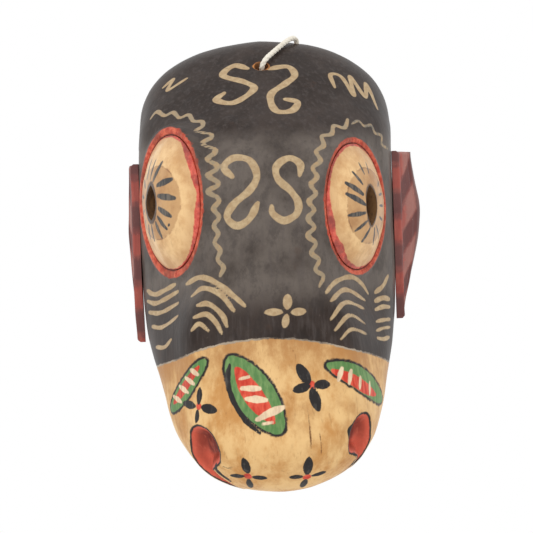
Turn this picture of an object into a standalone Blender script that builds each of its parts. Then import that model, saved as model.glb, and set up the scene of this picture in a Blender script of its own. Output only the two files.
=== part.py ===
"""A carved and painted wooden animal-head wall mask with a cotton hanging cord.

The head is one hollow shell whose open back lies in the plane y = 0. The face looks towards -Y and
the top of the head is +Z. The origin lies on the flat back of the rim, at its top centre. Each eye is
a bored dome set in a shallow seat, and each ear is a flap nailed on from inside the head.

"Depth" below is the distance in front of the back plane, so depth = -y. "Drop" is the distance down
from the top of the rim, so z = RIM_TOP - drop.
"""

import math

import bmesh
import bpy
import numpy as np
from mathutils import Matrix, Vector

# Driving dimensions, in metres
GAP = 0.0003  # clearance between touching pieces
RIM_TOP = 0.005  # the rim's top above the origin
SIDE_WALL = 0.075  # the straight side walls' distance from the middle
CENTRE_DROP = 0.130  # the point that the shell's surfaces are laid out from
WALL = 0.010  # wall thickness of the face, and the rim's width
MUZZLE_EXTRA_WALL = 0.014  # more wood is left inside the muzzle

# The head's outline, as (half width, drop): at the back plane, and at the front of the muzzle
UPPER_OUTLINE = [(0, 0), (0.025, 0.0026), (0.044, 0.0088), (0.061, 0.0195), (0.0705, 0.032)]
UPPER_OUTLINE += [(0.0745, 0.048), (SIDE_WALL, 0.080), (SIDE_WALL, 0.125), (0.0740, 0.160)]
BACK_CHIN = [(0.070, 0.180), (0.062, 0.197), (0.051, 0.212), (0.037, 0.226), (0.019, 0.236), (0, 0.239)]
FRONT_CHIN = [(0.071, 0.182), (0.065, 0.203), (0.0605, 0.218), (0.0530, 0.234), (0.0400, 0.248)]
FRONT_CHIN += [(0.021, 0.2565), (0, 0.2595)]
CHIN_SETBACK = 0.065  # depth over which the back outline becomes the front one
BROW_LEAN, LEAN_END, LEAN_FADE = 0.046, 0.150, 0.060  # the brow leans to the viewer's left, the muzzle doesn't

# The profile along the middle of the face: (drop, depth)
PROFILE = [(0, 0.080), (0.060, 0.083), (0.075, 0.087), (0.100, 0.092), (0.125, 0.095), (0.155, 0.098)]
PROFILE += [(0.175, 0.101), (0.190, 0.1055), (0.210, 0.112), (0.230, 0.1175), (0.245, 0.120), (0.262, 0.120)]
# How round the face is from side to side: (drop, radius)
ROUNDING = [(0, 0.20), (0.090, 0.35), (0.165, 0.30), (0.195, 0.115), (0.260, 0.085)]
# Around the outline, from the top (0 degrees) to the chin (180): (angle, wall depth, facet slope)
SHOULDER = [(0, 0.030, 1.48), (112, 0.030, 1.48)]
SHOULDER += [(132, 0.050, 1.50), (150, 0.074, 1.35), (166, 0.094, 1.15), (180, 0.096, 1.10)]
FOREHEAD_DEPTH, FOREHEAD_SLOPE = 0.009, 1.12  # wall depth at the top of the rim, slope of the forehead
BROW_BLEND = 0.013  # rounding where a facet meets the face
CORNER_BLEND = 0.012  # rounding between the forehead and the cheek facets
SHOULDER_BLEND = 0.009  # rounding where a facet meets the side wall

# Eyes: each is a dome on the slanted cheek facet. Side, distance from the side wall across the face, drop,
# half width, half height, then the pupil's place along the dome's width and its height
EYES = {
    "left": (-1, 0.0220, 0.0980, 0.0320, 0.0380, -0.0045, 0.0200),
    "right": (1, 0.0235, 0.1035, 0.0300, 0.0355, 0.0000, 0.0230),
}
EYE_FACET_DEPTH, EYE_FACET_SLOPE = 0.030, 1.48  # as in SHOULDER, beside the eyes
EYE_SINK = 0.0015  # how far the dome's edge lies below the facet
DOME_RISE = 0.0120
DOME_EDGE = 0.0008
SEAT_DEPTH = 0.0028
SEAT_OPENING = (0.015, 0.017)  # half width and half height of the way through the seat's floor
PUPIL_WIDTH = 0.0120

# Ears: side, drop of the top, drop of the tip, how far the widest point stands off the wall
EARS = {"left": (-1, 0.073, 0.178, 0.0070), "right": (1, 0.070, 0.169, 0.0155)}
EAR_FRONT = [(0, 0.0190), (0.35, 0.0210), (0.70, 0.0200), (1, 0.0125)]  # (share of length, depth)
EAR_REAR = [(0, 0.0030), (0.35, 0.0010), (0.70, 0.0035), (1, 0.0080)]
EAR_STAND = [(0, 0.70), (0.38, 1.0), (0.75, 0.52), (1, 0.16)]  # (share of length, share of stand-off)
EAR_THICK = 0.0050
EAR_EDGE_THICK = 0.0032
EAR_ROOT_SHARE = 0.38  # this share of the chord lies flat on the wall
NAILS_ALONG = {"upper": 0.22, "lower": 0.62}  # shares of the ear's length
NAIL_DEPTH = 0.0140  # depth of the nails in front of the back plane
NAIL_RADIUS, NAIL_BITE = 0.0010, 0.0036  # the bite is the nail's reach into the ear
NAIL_HEAD_RADIUS, NAIL_HEAD_HEIGHT = 0.0027, 0.0012
NAIL_HEAD_STAND = 0.0009  # the heads stand this far off the inner wall, which is not quite flat

# Cord: its hole in the forehead, the notch behind the rim, and the route of its centreline
CORD_RADIUS = 0.0015
CORD_HOLE = (-0.0015, 0.0190, 0.0042)  # x, drop and radius of the hole
CORD_NOTCH_X, NOTCH_HALF_WIDTH, NOTCH_DEPTH = 0.0205, 0.0024, 0.0056
KNOT_PLACE, KNOT_RADII = (0.0086, -0.0135, -0.0316), (0.0045, 0.0040, 0.0045)
CORD_ROUTE = [
    (0.0046, -0.0150, -0.0282),
    (0.0022, -0.0182, -0.0260),
    (0.0000, -0.0216, -0.0224),
    (-0.0012, -0.0256, -0.0180),
    (-0.0009, -0.0291, -0.0136),
    (0.0014, -0.0294, -0.0098),
    (0.0048, -0.0258, -0.0064),
    (0.0086, -0.0209, -0.0028),
    (0.0124, -0.0159, 0.0007),
    (0.0158, -0.0116, 0.0034),
    (0.0186, -0.0077, 0.0047),
    (0.0203, -0.0043, 0.0036),
    (0.0208, -0.0027, 0.0000),
    (0.0208, -0.0027, -0.0055),
    (0.0201, -0.0041, -0.0120),
    (0.0183, -0.0065, -0.0185),
    (0.0157, -0.0094, -0.0240),
    (0.0133, -0.0114, -0.0276),
]

# Nostrils: the hollow and its tail, as (x, drop, half width, half height, depth, turn in degrees)
NOSTRIL = (0.0385, 0.2330, 0.0085, 0.0120, 0.0075, 12)
NOSTRIL_TAIL = (0.0300, 0.2475, 0.0045, 0.0075, 0.0045, 48)

COLUMNS, OUTER_ROWS, INNER_ROWS = 64, 22, 12  # the shell's mesh


def smooth_through(stations, values, at):
    """A smooth curve through the values, level at both ends."""
    x, y = np.asarray(stations, float), np.asarray(values, float)
    slopes = np.zeros(len(x))
    slopes[1:-1] = (y[2:] - y[:-2]) / (x[2:] - x[:-2])
    i = np.clip(np.searchsorted(x, at) - 1, 0, len(x) - 2)
    span = x[i + 1] - x[i]
    t = np.clip((at - x[i]) / span, 0, 1)
    rise = y[i + 1] - y[i]
    bend = (1 - t) * (slopes[i] * span - rise) - t * (slopes[i + 1] * span - rise)
    return y[i] + t * rise + t * (1 - t) * bend


def smooth_step(t):
    t = np.clip(t, 0, 1)
    return t * t * (3 - 2 * t)


def smooth_min(a, b, blend):
    near = np.clip(blend - np.abs(a - b), 0, None) / blend
    return np.minimum(a, b) - near * near * blend / 4


def outline_curve(points):
    """The outline as (half width, drop), read densely from a smooth curve through its points."""
    mirrored = [(-points[1][0], points[1][1])] + points + [(-points[-2][0], points[-2][1])]
    p = np.array(mirrored, float)
    dense = []
    for a, b, c, d in zip(p[:-3], p[1:-2], p[2:-1], p[3:], strict=True):
        for t in np.linspace(0, 1, 24, endpoint=False):
            dense.append(catmull_rom(a, b, c, d, t))
    dense.append(p[-2])
    return np.array(dense)


def outline_radius(points):
    """The outline as (angles, radii) about the centre."""
    half_width, drop = outline_curve(points).T
    return np.arctan2(half_width, CENTRE_DROP - drop), np.hypot(half_width, CENTRE_DROP - drop)


def catmull_rom(a, b, c, d, t):
    return 0.5 * (2 * b + (c - a) * t + (2 * a - 5 * b + 4 * c - d) * t**2 + (3 * b - a - 3 * c + d) * t**3)


ANGLES = np.linspace(0, math.pi, 361)
BACK_RADIUS = np.interp(ANGLES, *outline_radius(UPPER_OUTLINE + BACK_CHIN))
FRONT_RADIUS = np.interp(ANGLES, *outline_radius(UPPER_OUTLINE + FRONT_CHIN))
BACK_SQUARE, FRONT_SQUARE = (
    radius / np.hypot(radius, np.gradient(radius, ANGLES)) for radius in (BACK_RADIUS, FRONT_RADIUS)
)

TOP_CURVE = outline_curve(UPPER_OUTLINE + BACK_CHIN)
ARCH = TOP_CURVE[TOP_CURVE[:, 1] < UPPER_OUTLINE[5][1]].T  # half width and drop of the rim's top


def lean(depth, drop):
    """How far the head leans to the viewer's left."""
    return BROW_LEAN * depth * (1 - smooth_step((drop - LEAN_END) / LEAN_FADE))


def outside(x, depth, drop):
    """Roughly how far a point lies outside the carved head; negative inside the wood's outer surface."""
    x = x + lean(depth, drop)
    up = CENTRE_DROP - drop
    angle = np.arctan2(np.abs(x), up)
    forward = smooth_step(depth / CHIN_SETBACK)
    radius = blended(BACK_RADIUS, FRONT_RADIUS, angle, forward)
    inset = (radius - np.hypot(x, up)) * blended(BACK_SQUARE, FRONT_SQUARE, angle, forward)
    stations, wall_depths, slopes = zip(*SHOULDER, strict=True)
    slope = smooth_through(np.radians(stations), slopes, angle)
    facet = smooth_through(np.radians(stations), wall_depths, angle) + slope * inset
    forehead = FOREHEAD_DEPTH + FOREHEAD_SLOPE * (drop - np.interp(np.abs(x), *ARCH))
    roundness = smooth_through(*zip(*ROUNDING, strict=True), drop)
    face = smooth_through(*zip(*PROFILE, strict=True), drop) - x**2 / (2 * roundness)
    carved = smooth_min(forehead, facet, CORNER_BLEND)
    slope = np.where(forehead < facet, FOREHEAD_SLOPE, slope)
    surface = smooth_min(face, carved, BROW_BLEND)
    on_facet = np.clip(0.5 + (face - carved) / (2 * BROW_BLEND), 0, 1)
    from_front = (depth - surface) / np.sqrt(1 + (on_facet * slope) ** 2)
    return -smooth_min(-from_front, inset, SHOULDER_BLEND)


def blended(back, front, angle, forward):
    return np.interp(angle, ANGLES, back) * (1 - forward) + np.interp(angle, ANGLES, front) * forward


def wood_left(depth, drop):
    """Wall thickness: more at the front of the muzzle."""
    muzzle = smooth_step((drop - 0.165) / 0.055) * smooth_step((depth - 0.015) / 0.060)
    return WALL + MUZZLE_EXTRA_WALL * muzzle


def shell_points(turns, rise, inner):
    """Where rays from the centre, at these turns around and one rise above the back plane, meet the shell."""
    across, along = np.sin(turns) * math.cos(rise), np.cos(turns) * math.cos(rise)
    low, high = np.zeros(len(turns)), np.full(len(turns), 0.25)
    for _ in range(36):
        reach = (low + high) / 2
        depth, drop = reach * math.sin(rise), CENTRE_DROP - reach * along
        value = outside(reach * across, depth, drop) + (wood_left(depth, drop) if inner else 0)
        low, high = np.where(value < 0, reach, low), np.where(value < 0, high, reach)
    return np.stack([low * across, -low * math.sin(rise), RIM_TOP - CENTRE_DROP + low * along], axis=1)


def face_depth(x, drop):
    """Depth of the outer surface, straight in front of a place on the face."""
    low, high = (0.0 if drop < CENTRE_DROP else CHIN_SETBACK), 0.20
    for _ in range(30):
        depth = (low + high) / 2
        low, high = (depth, high) if outside(x, depth, drop) < 0 else (low, depth)
    return low


def face_frame(x, drop):
    """A frame on the outer surface: X to the viewer's right, Z outwards."""
    step = 0.001
    at = Vector((x, -face_depth(x, drop), RIM_TOP - drop))
    right = Vector((x + step, -face_depth(x + step, drop), RIM_TOP - drop)) - at
    below = Vector((x, -face_depth(x, drop + step), RIM_TOP - drop - step)) - at
    normal = below.cross(right).normalized()
    right.normalize()
    return frame_matrix(at, right, normal.cross(right), normal)


def frame_matrix(at, x_axis, y_axis, z_axis):
    matrix = Matrix((x_axis, y_axis, z_axis)).transposed().to_4x4()
    matrix.translation = at
    return matrix


def clear_scene():
    for obj in list(bpy.data.objects):
        bpy.data.objects.remove(obj, do_unlink=True)


def material(name, colour, roughness):
    mat = bpy.data.materials.new(name)
    mat.use_nodes = True
    shader = mat.node_tree.nodes["Principled BSDF"]
    shader.inputs["Base Color"].default_value = (*colour, 1)
    shader.inputs["Roughness"].default_value = roughness
    mat.diffuse_color = (*colour, 1)
    return mat


def add_object(name, bm, mat=None, smooth_angle=30):
    """A new object from a bmesh, with its faces turned outwards."""
    bmesh.ops.recalc_face_normals(bm, faces=bm.faces)
    if bm.calc_volume(signed=True) < 0:
        bmesh.ops.reverse_faces(bm, faces=bm.faces)
    mesh = bpy.data.meshes.new(name)
    bm.to_mesh(mesh)
    bm.free()
    mesh.shade_smooth()
    mesh.set_sharp_from_angle(angle=math.radians(smooth_angle))
    obj = bpy.data.objects.new(name, mesh)
    bpy.context.scene.collection.objects.link(obj)
    if mat:
        mesh.materials.append(mat)
    return obj


def add_cutter(name, bm):
    cutter = add_object(name, bm)
    cutter.hide_render = True
    cutter.display_type = "WIRE"
    return cutter


def cut(obj, cutter):
    modifier = obj.modifiers.new(cutter.name, "BOOLEAN")
    modifier.operation = "DIFFERENCE"
    modifier.object = cutter
    modifier.solver = "EXACT"


def ring(bm, points):
    return [bm.verts.new(p) for p in points]


def bridge(bm, first, second):
    """Quads between two closed rings of the same length."""
    count = len(first)
    for i in range(count):
        j = (i + 1) % count
        bm.faces.new((first[i], first[j], second[j], second[i]))


def fan(bm, rim, tip):
    for i in range(len(rim)):
        bm.faces.new((rim[i], rim[(i + 1) % len(rim)], tip))


def ellipse(half_x, half_y, z, count):
    turns = [2 * math.pi * i / count for i in range(count)]
    return [Vector((half_x * math.cos(a), half_y * math.sin(a), z)) for a in turns]


def prism(outline, low, high, place):
    """A closed prism on an outline in X and Y, from low to high along Z, then placed."""
    bm = bmesh.new()
    base = ring(bm, [Vector((p[0], p[1], low)) for p in outline])
    top = ring(bm, [Vector((p[0], p[1], high)) for p in outline])
    bridge(bm, base, top)
    bm.faces.new(base)
    bm.faces.new(top)
    bm.transform(place)
    return bm


def ellipsoid(radii, place, segments=16, rings=10):
    bm = bmesh.new()
    bmesh.ops.create_uvsphere(bm, u_segments=segments, v_segments=rings, radius=1)
    bm.transform(place @ Matrix.Diagonal((*radii, 1)))
    return bm


def build_shell(mat):
    """The hollow head: outer and inner surfaces joined by the flat rim."""
    bm = bmesh.new()
    turns = 2 * math.pi * np.arange(COLUMNS) / COLUMNS
    rims = []
    for inner, rows in ((False, OUTER_ROWS), (True, INNER_ROWS)):
        rings = []
        for row in range(rows):
            rings.append(ring(bm, shell_points(turns, math.pi / 2 * row / rows, inner)))
        for lower, upper in zip(rings[:-1], rings[1:], strict=True):
            bridge(bm, lower, upper)
        fan(bm, rings[-1], bm.verts.new(shell_points(turns[:1], math.pi / 2, inner)[0]))
        rims.append(rings[0])
    bridge(bm, *rims)
    return add_object("head_shell", bm, mat, smooth_angle=50)


def eye_frame(side, offset, drop):
    """A frame on the cheek facet, which leans as the brow does: Y up, Z outwards."""
    slope = 1 / (1 / EYE_FACET_SLOPE + side * BROW_LEAN)
    steep = math.hypot(1, slope)
    normal = Vector((side * slope / steep, -1 / steep, 0))
    up = Vector((0, 0, 1))
    depth = EYE_FACET_DEPTH + EYE_FACET_SLOPE * offset
    at = Vector((side * (SIDE_WALL - offset) - lean(depth, drop), -depth, RIM_TOP - drop))
    return frame_matrix(at - EYE_SINK * normal, up.cross(normal), up, normal)


def lens_outline(width, height, middle, steps=8):
    """Two arcs that meet in points at the top and the bottom, about a middle on the X axis."""
    bow = (height**2 - width**2) / (4 * width)
    radius = bow + width / 2
    reach = math.asin(height / 2 / radius)
    turns = [reach * (2 * i / steps - 1) for i in range(steps)]
    one_side = [(radius * math.cos(a) - bow, radius * math.sin(a)) for a in turns]
    return [(middle + x, y) for x, y in one_side] + [(middle - x, -y) for x, y in one_side]


def build_eye(name, place, half_width, half_height, pupil_place, pupil_height, mat, shell):
    """A dome with a flat back, set in a seat cut in the shell, with its pupil bored through."""
    bm = bmesh.new()
    sides, steps = 40, 6
    rings = [ring(bm, ellipse(half_width, half_height, GAP - SEAT_DEPTH, sides))]
    for i in range(steps):
        share = math.cos(math.pi / 2 * i / steps)
        height = DOME_EDGE + (DOME_RISE - DOME_EDGE) * (1 - share**2.3)
        rings.append(ring(bm, ellipse(half_width * share, half_height * share, height, sides)))
    for lower, upper in zip(rings[:-1], rings[1:], strict=True):
        bridge(bm, lower, upper)
    bm.faces.new(rings[0])
    fan(bm, rings[-1], bm.verts.new((0, 0, DOME_RISE)))
    bm.transform(place)
    eye = add_object(name, bm, mat)
    pupil = lens_outline(PUPIL_WIDTH, pupil_height, pupil_place)
    cut(eye, add_cutter(name + "_pupil_cutter", prism(pupil, -0.02, 0.03, place)))
    seat = ellipse(half_width + GAP, half_height + GAP, 0, 48)
    cut(shell, add_cutter(name + "_seat_cutter", prism(seat, -SEAT_DEPTH, 0.03, place)))
    way = [p + Vector((pupil_place, 0, 0)) for p in ellipse(*SEAT_OPENING, 0, 32)]
    cut(shell, add_cutter(name + "_way_cutter", prism(way, -0.03, 0.01, place)))


def ear_chord(side, top, tip, stand, along, across):
    """A place on the ear's inner face, for shares of its length and of its width."""
    front = smooth_through(*zip(*EAR_FRONT, strict=True), along)
    rear = smooth_through(*zip(*EAR_REAR, strict=True), along)
    depth = front + (rear - front) * across
    lift = max(0.0, (across - EAR_ROOT_SHARE) / (1 - EAR_ROOT_SHARE))
    flare = stand * smooth_through(*zip(*EAR_STAND, strict=True), along)
    x = SIDE_WALL + GAP + flare * lift**1.25
    drop = top + (tip - top) * along
    return Vector((side * x - lean(depth, drop), -depth, RIM_TOP - drop))


def build_ear(name, side, top, tip, stand, mat, nail_mat, shell):
    """A leaf-shaped flap: flat on the wall along its front edge, flaring outwards behind."""
    bm = bmesh.new()
    rows, spans = 14, 8
    rings = []
    for row in range(rows + 1):
        along = row / rows
        inner_line = [ear_chord(side, top, tip, stand, along, i / spans) for i in range(spans + 1)]
        outer_line = []
        for i, point in enumerate(inner_line):
            ahead = inner_line[min(i + 1, spans)] - inner_line[max(i - 1, 0)]
            out = Vector((side * abs(ahead.y), -abs(ahead.x), 0)).normalized()
            thick = EAR_THICK + (EAR_EDGE_THICK - EAR_THICK) * (i / spans)
            edge = 0.6 if i in (0, spans) or row in (0, rows) else 1
            outer_line.append(point + out * thick * edge)
        rings.append(ring(bm, inner_line + outer_line[::-1]))
    for lower, upper in zip(rings[:-1], rings[1:], strict=True):
        bridge(bm, lower, upper)
    bm.faces.new(rings[0])
    bm.faces.new(rings[-1])
    ear = add_object(name, bm, mat, smooth_angle=40)
    for end, along in NAILS_ALONG.items():
        drop = top + (tip - top) * along
        at = Vector((side * SIDE_WALL - lean(NAIL_DEPTH, drop), -NAIL_DEPTH, RIM_TOP - drop))
        place = nail_frame(side, at)
        bore = prism(ellipse(NAIL_RADIUS + GAP, NAIL_RADIUS + GAP, 0, 12), -2 * WALL, NAIL_BITE + GAP, place)
        cutter = add_cutter(f"{name}_{end}_nail_cutter", bore)
        cut(ear, cutter)
        cut(shell, cutter)
        build_nail(f"{name}_nail_{end}", place, nail_mat)


def nail_frame(side, at):
    """A frame on the side wall's outer face: Z outwards, into the ear."""
    out, up = Vector((side, 0, 0)), Vector((0, 0, 1))
    return frame_matrix(at, up.cross(out), up, out)


def build_nail(name, place, mat):
    """A nail from inside the head, through the side wall into the ear: a low domed head, a shank, a point."""
    bm = bmesh.new()
    face = -WALL - NAIL_HEAD_STAND
    profile = [(NAIL_HEAD_RADIUS * 0.6, face - NAIL_HEAD_HEIGHT), (NAIL_HEAD_RADIUS, face - NAIL_HEAD_HEIGHT / 2)]
    profile += [(NAIL_HEAD_RADIUS, face), (NAIL_RADIUS, face), (NAIL_RADIUS, NAIL_BITE - 2 * NAIL_RADIUS)]
    rings = [ring(bm, ellipse(radius, radius, z, 12)) for radius, z in profile]
    for lower, upper in zip(rings[:-1], rings[1:], strict=True):
        bridge(bm, lower, upper)
    bm.faces.new(rings[0])
    fan(bm, rings[-1], bm.verts.new((0, 0, NAIL_BITE)))
    bm.transform(place)
    add_object(name, bm, mat)


def cord_points(route, spacing):
    """Evenly spaced places on a smooth curve through the route's own points."""
    p = [np.array(q) for q in route]
    p = [2 * p[0] - p[1]] + p + [2 * p[-1] - p[-2]]
    dense = []
    for a, b, c, d in zip(p[:-3], p[1:-2], p[2:-1], p[3:], strict=True):
        dense += [catmull_rom(a, b, c, d, t) for t in np.linspace(0, 1, 20, endpoint=False)]
    dense = np.array(dense + [p[-2]])
    run = np.concatenate([[0], np.cumsum(np.linalg.norm(np.diff(dense, axis=0), axis=1))])
    at = np.linspace(0, run[-1], round(run[-1] / spacing) + 1)
    return np.stack([np.interp(at, run, dense[:, k]) for k in range(3)], axis=1)


def build_cord(mat, knot_mat):
    """The cord as a plain tube, and the knot that closes it into a loop inside the head."""
    curve = bpy.data.curves.new("hanging_cord", "CURVE")
    curve.dimensions = "3D"
    curve.bevel_depth = CORD_RADIUS
    curve.bevel_resolution = 2
    curve.use_fill_caps = True
    spline = curve.splines.new("POLY")
    points = cord_points(CORD_ROUTE, 2 * CORD_RADIUS)
    spline.points.add(len(points) - 1)
    for target, point in zip(spline.points, points, strict=True):
        target.co = (*point, 1)
    curve.materials.append(mat)
    cord = bpy.data.objects.new("hanging_cord", curve)
    bpy.context.scene.collection.objects.link(cord)
    add_object("cord_knot", ellipsoid(KNOT_RADII, Matrix.Translation(KNOT_PLACE), 12, 8), knot_mat)


def cut_cord_way(shell):
    """The drilled forehead hole, square to the forehead, and the notch in the back of the rim."""
    x, drop, radius = CORD_HOLE
    hole = prism(ellipse(radius, radius, 0, 20), -0.03, 0.02, face_frame(x, drop))
    cut(shell, add_cutter("cord_hole_cutter", hole))
    turns = [math.pi * i / 8 for i in range(9)]
    floor = NOTCH_HALF_WIDTH - NOTCH_DEPTH
    round_end = [(NOTCH_HALF_WIDTH * math.cos(a), floor - NOTCH_HALF_WIDTH * math.sin(a)) for a in turns]
    outline = round_end + [(-NOTCH_HALF_WIDTH, 0.01), (NOTCH_HALF_WIDTH, 0.01)]
    notch = prism(outline, -0.025, 0.02, Matrix.Translation((CORD_NOTCH_X, 0, 0)))
    cut(shell, add_cutter("cord_notch_cutter", notch))


def cut_nostrils(shell):
    for side in (-1, 1):
        for i, (x, drop, wide, high, depth, turn) in enumerate((NOSTRIL, NOSTRIL_TAIL)):
            place = face_frame(side * x, drop) @ Matrix.Rotation(math.radians(side * -turn), 4, "Z")
            cut(shell, add_cutter(f"nostril_cutter_{side}_{i}", ellipsoid((wide, high, depth), place)))


def main():
    clear_scene()
    painted = material("painted_wood", (0.035, 0.033, 0.032), 0.45)
    cream = material("cream_paint", (0.62, 0.48, 0.30), 0.45)
    red = material("red_paint", (0.42, 0.07, 0.04), 0.45)
    iron = material("iron", (0.10, 0.09, 0.08), 0.5)
    cotton = material("cotton", (0.78, 0.74, 0.66), 0.9)
    iron.node_tree.nodes["Principled BSDF"].inputs["Metallic"].default_value = 1
    shell = build_shell(painted)
    cut_cord_way(shell)
    cut_nostrils(shell)
    for name, (side, offset, drop, *sizes) in EYES.items():
        build_eye(f"eye_{name}", eye_frame(side, offset, drop), *sizes, cream, shell)
    for name, (side, top, tip, stand) in EARS.items():
        build_ear(f"ear_{name}", side, top, tip, stand, red, iron, shell)
    build_cord(cotton, cotton)


main()
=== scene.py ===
"""The looks of a carved and painted wooden animal-head mask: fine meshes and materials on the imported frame.

Metres, +Z up. The face looks towards -Y and the flat open back lies at y = 0. "Depth" is the distance in
front of the back, so depth = -y; "drop" is the distance down from the rim's top, so z = RIM_TOP - drop.
Painted marks are listed in millimetres as (x, drop), as seen from straight in front.
"""

import math

import bmesh
import bpy
import numpy as np
from mathutils import Matrix, Vector


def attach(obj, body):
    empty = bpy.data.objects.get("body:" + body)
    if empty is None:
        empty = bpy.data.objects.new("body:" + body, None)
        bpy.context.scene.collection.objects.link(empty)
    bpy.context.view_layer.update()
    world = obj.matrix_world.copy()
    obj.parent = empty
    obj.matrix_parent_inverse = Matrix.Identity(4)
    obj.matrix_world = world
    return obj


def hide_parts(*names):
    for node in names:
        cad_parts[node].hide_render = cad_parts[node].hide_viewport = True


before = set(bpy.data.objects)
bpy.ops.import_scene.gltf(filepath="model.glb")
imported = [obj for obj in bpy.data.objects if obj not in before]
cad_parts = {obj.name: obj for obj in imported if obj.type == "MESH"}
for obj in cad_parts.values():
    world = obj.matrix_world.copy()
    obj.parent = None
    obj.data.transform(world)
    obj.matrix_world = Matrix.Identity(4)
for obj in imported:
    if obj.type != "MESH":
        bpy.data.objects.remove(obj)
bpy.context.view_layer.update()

MM = 0.001
FAR = 9.0  # stands for "nowhere near", in millimetres, cells or shares of a dome's width
BISECTIONS = 24  # halvings that find a surface along a ray
HEAD_SHARP, EYE_SHARP = 50, 45  # edges bent by more than this many degrees are left sharp
RIM_TOP, CENTRE_DROP, SIDE_WALL = 0.005, 0.130, 0.075

# The carved form, as in the CAD model
UPPER_OUTLINE = [(0, 0), (0.025, 0.0026), (0.044, 0.0088), (0.061, 0.0195), (0.0705, 0.032)]
UPPER_OUTLINE += [(0.0745, 0.048), (SIDE_WALL, 0.080), (SIDE_WALL, 0.125), (0.0740, 0.160)]
BACK_CHIN = [(0.070, 0.180), (0.062, 0.197), (0.051, 0.212), (0.037, 0.226), (0.019, 0.236), (0, 0.239)]
FRONT_CHIN = [(0.071, 0.182), (0.065, 0.203), (0.0605, 0.218), (0.0530, 0.234), (0.0400, 0.248)]
FRONT_CHIN += [(0.021, 0.2565), (0, 0.2595)]
CHIN_SETBACK = 0.065
BROW_LEAN, LEAN_END, LEAN_FADE = 0.046, 0.150, 0.060
WALL, MUZZLE_EXTRA_WALL = 0.010, 0.014
PROFILE = [(0, 0.080), (0.060, 0.083), (0.075, 0.087), (0.100, 0.092), (0.125, 0.095), (0.155, 0.098)]
PROFILE += [(0.175, 0.101), (0.190, 0.1055), (0.210, 0.112), (0.230, 0.1175), (0.245, 0.120), (0.262, 0.120)]
ROUNDING = [(0, 0.20), (0.090, 0.35), (0.165, 0.30), (0.195, 0.115), (0.260, 0.085)]
SHOULDER = [(0, 0.030, 1.48), (112, 0.030, 1.48)]
SHOULDER += [(132, 0.050, 1.50), (150, 0.074, 1.35), (166, 0.094, 1.15), (180, 0.096, 1.10)]
FOREHEAD_DEPTH, FOREHEAD_SLOPE = 0.009, 1.12
BROW_BLEND, CORNER_BLEND, SHOULDER_BLEND = 0.013, 0.012, 0.009
FACET_DEPTH, FACET_SLOPE = 0.030, 1.48

# Eyes: side, distance from the side wall, drop, half width, half height, pupil place, pupil height
EYES = {
    "left": (-1, 0.0220, 0.0980, 0.0320, 0.0380, -0.0045, 0.0200),
    "right": (1, 0.0235, 0.1035, 0.0300, 0.0355, 0.0000, 0.0230),
}
EYE_SINK, SEAT_DEPTH, DOME_RISE, DOME_EDGE, PUPIL_WIDTH = 0.0015, 0.0028, 0.0120, 0.0008, 0.0120
SEAT_OPENING = (0.015, 0.017)

# Ears: side, drop of the top and of the tip, and how far the widest point stands off the wall
EARS = {"left": (-1, 0.073, 0.178, 0.0070), "right": (1, 0.070, 0.169, 0.0155)}
EAR_FRONT = [(0, 0.0190), (0.35, 0.0210), (0.70, 0.0200), (1, 0.0125)]
EAR_REAR = [(0, 0.0030), (0.35, 0.0010), (0.70, 0.0035), (1, 0.0080)]
EAR_STAND = [(0, 0.70), (0.38, 1.0), (0.75, 0.52), (1, 0.16)]
EAR_THICK, EAR_EDGE_THICK, EAR_ROOT_SHARE = 0.0050, 0.0032, 0.38
EAR_OVERLAP = 0.0003  # how far the ear's foot reaches into the side wall
EAR_WIDE, BAND_PITCH, BAND_FAN = 20, 31, 24  # in millimetres, for the ears' painted bands

# Cord
CORD_RADIUS = 0.0015
CORD_HOLE = (-0.0015, 0.0190, 0.0042)
CORD_NOTCH_X, NOTCH_HALF_WIDTH, NOTCH_DEPTH = 0.0205, 0.0024, 0.0056
KNOT_PLACE = (0.0086, -0.0135, -0.0316)
CORD_ROUTE = [
    (0.0046, -0.0150, -0.0282),
    (0.0022, -0.0182, -0.0260),
    (0.0000, -0.0216, -0.0224),
    (-0.0012, -0.0256, -0.0180),
    (-0.0009, -0.0291, -0.0136),
    (0.0014, -0.0294, -0.0098),
    (0.0048, -0.0258, -0.0064),
    (0.0086, -0.0209, -0.0028),
    (0.0124, -0.0159, 0.0007),
    (0.0158, -0.0116, 0.0034),
    (0.0186, -0.0077, 0.0047),
    (0.0203, -0.0043, 0.0036),
    (0.0208, -0.0027, 0.0000),
    (0.0208, -0.0027, -0.0055),
    (0.0201, -0.0041, -0.0120),
    (0.0183, -0.0065, -0.0185),
    (0.0157, -0.0094, -0.0240),
    (0.0133, -0.0114, -0.0276),
]


# ---- Camera ----


def make_camera():
    """A metre away, level with the eyes' lower edge, a little to the left and rolled, as a snapshot is."""
    distance, turn, roll, half_width = 1.0, math.radians(-1.0), math.radians(-1.9), 0.16
    target = Vector((-0.0018, 0, -0.1307))
    data = bpy.data.cameras.new("camera")
    data.sensor_width = 36
    data.lens = data.sensor_width / 2 / half_width
    camera = bpy.data.objects.new("camera", data)
    camera.location = target + distance * Vector((math.sin(turn), -math.cos(turn), 0))
    camera.rotation_euler = (Matrix.Rotation(turn, 3, "Z") @ Matrix.Rotation(math.pi / 2, 3, "X")
                             @ Matrix.Rotation(roll, 3, "Z")).to_euler()
    bpy.context.scene.collection.objects.link(camera)
    bpy.context.scene.camera = camera


make_camera()


# ---- Curves and surfaces ----


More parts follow.
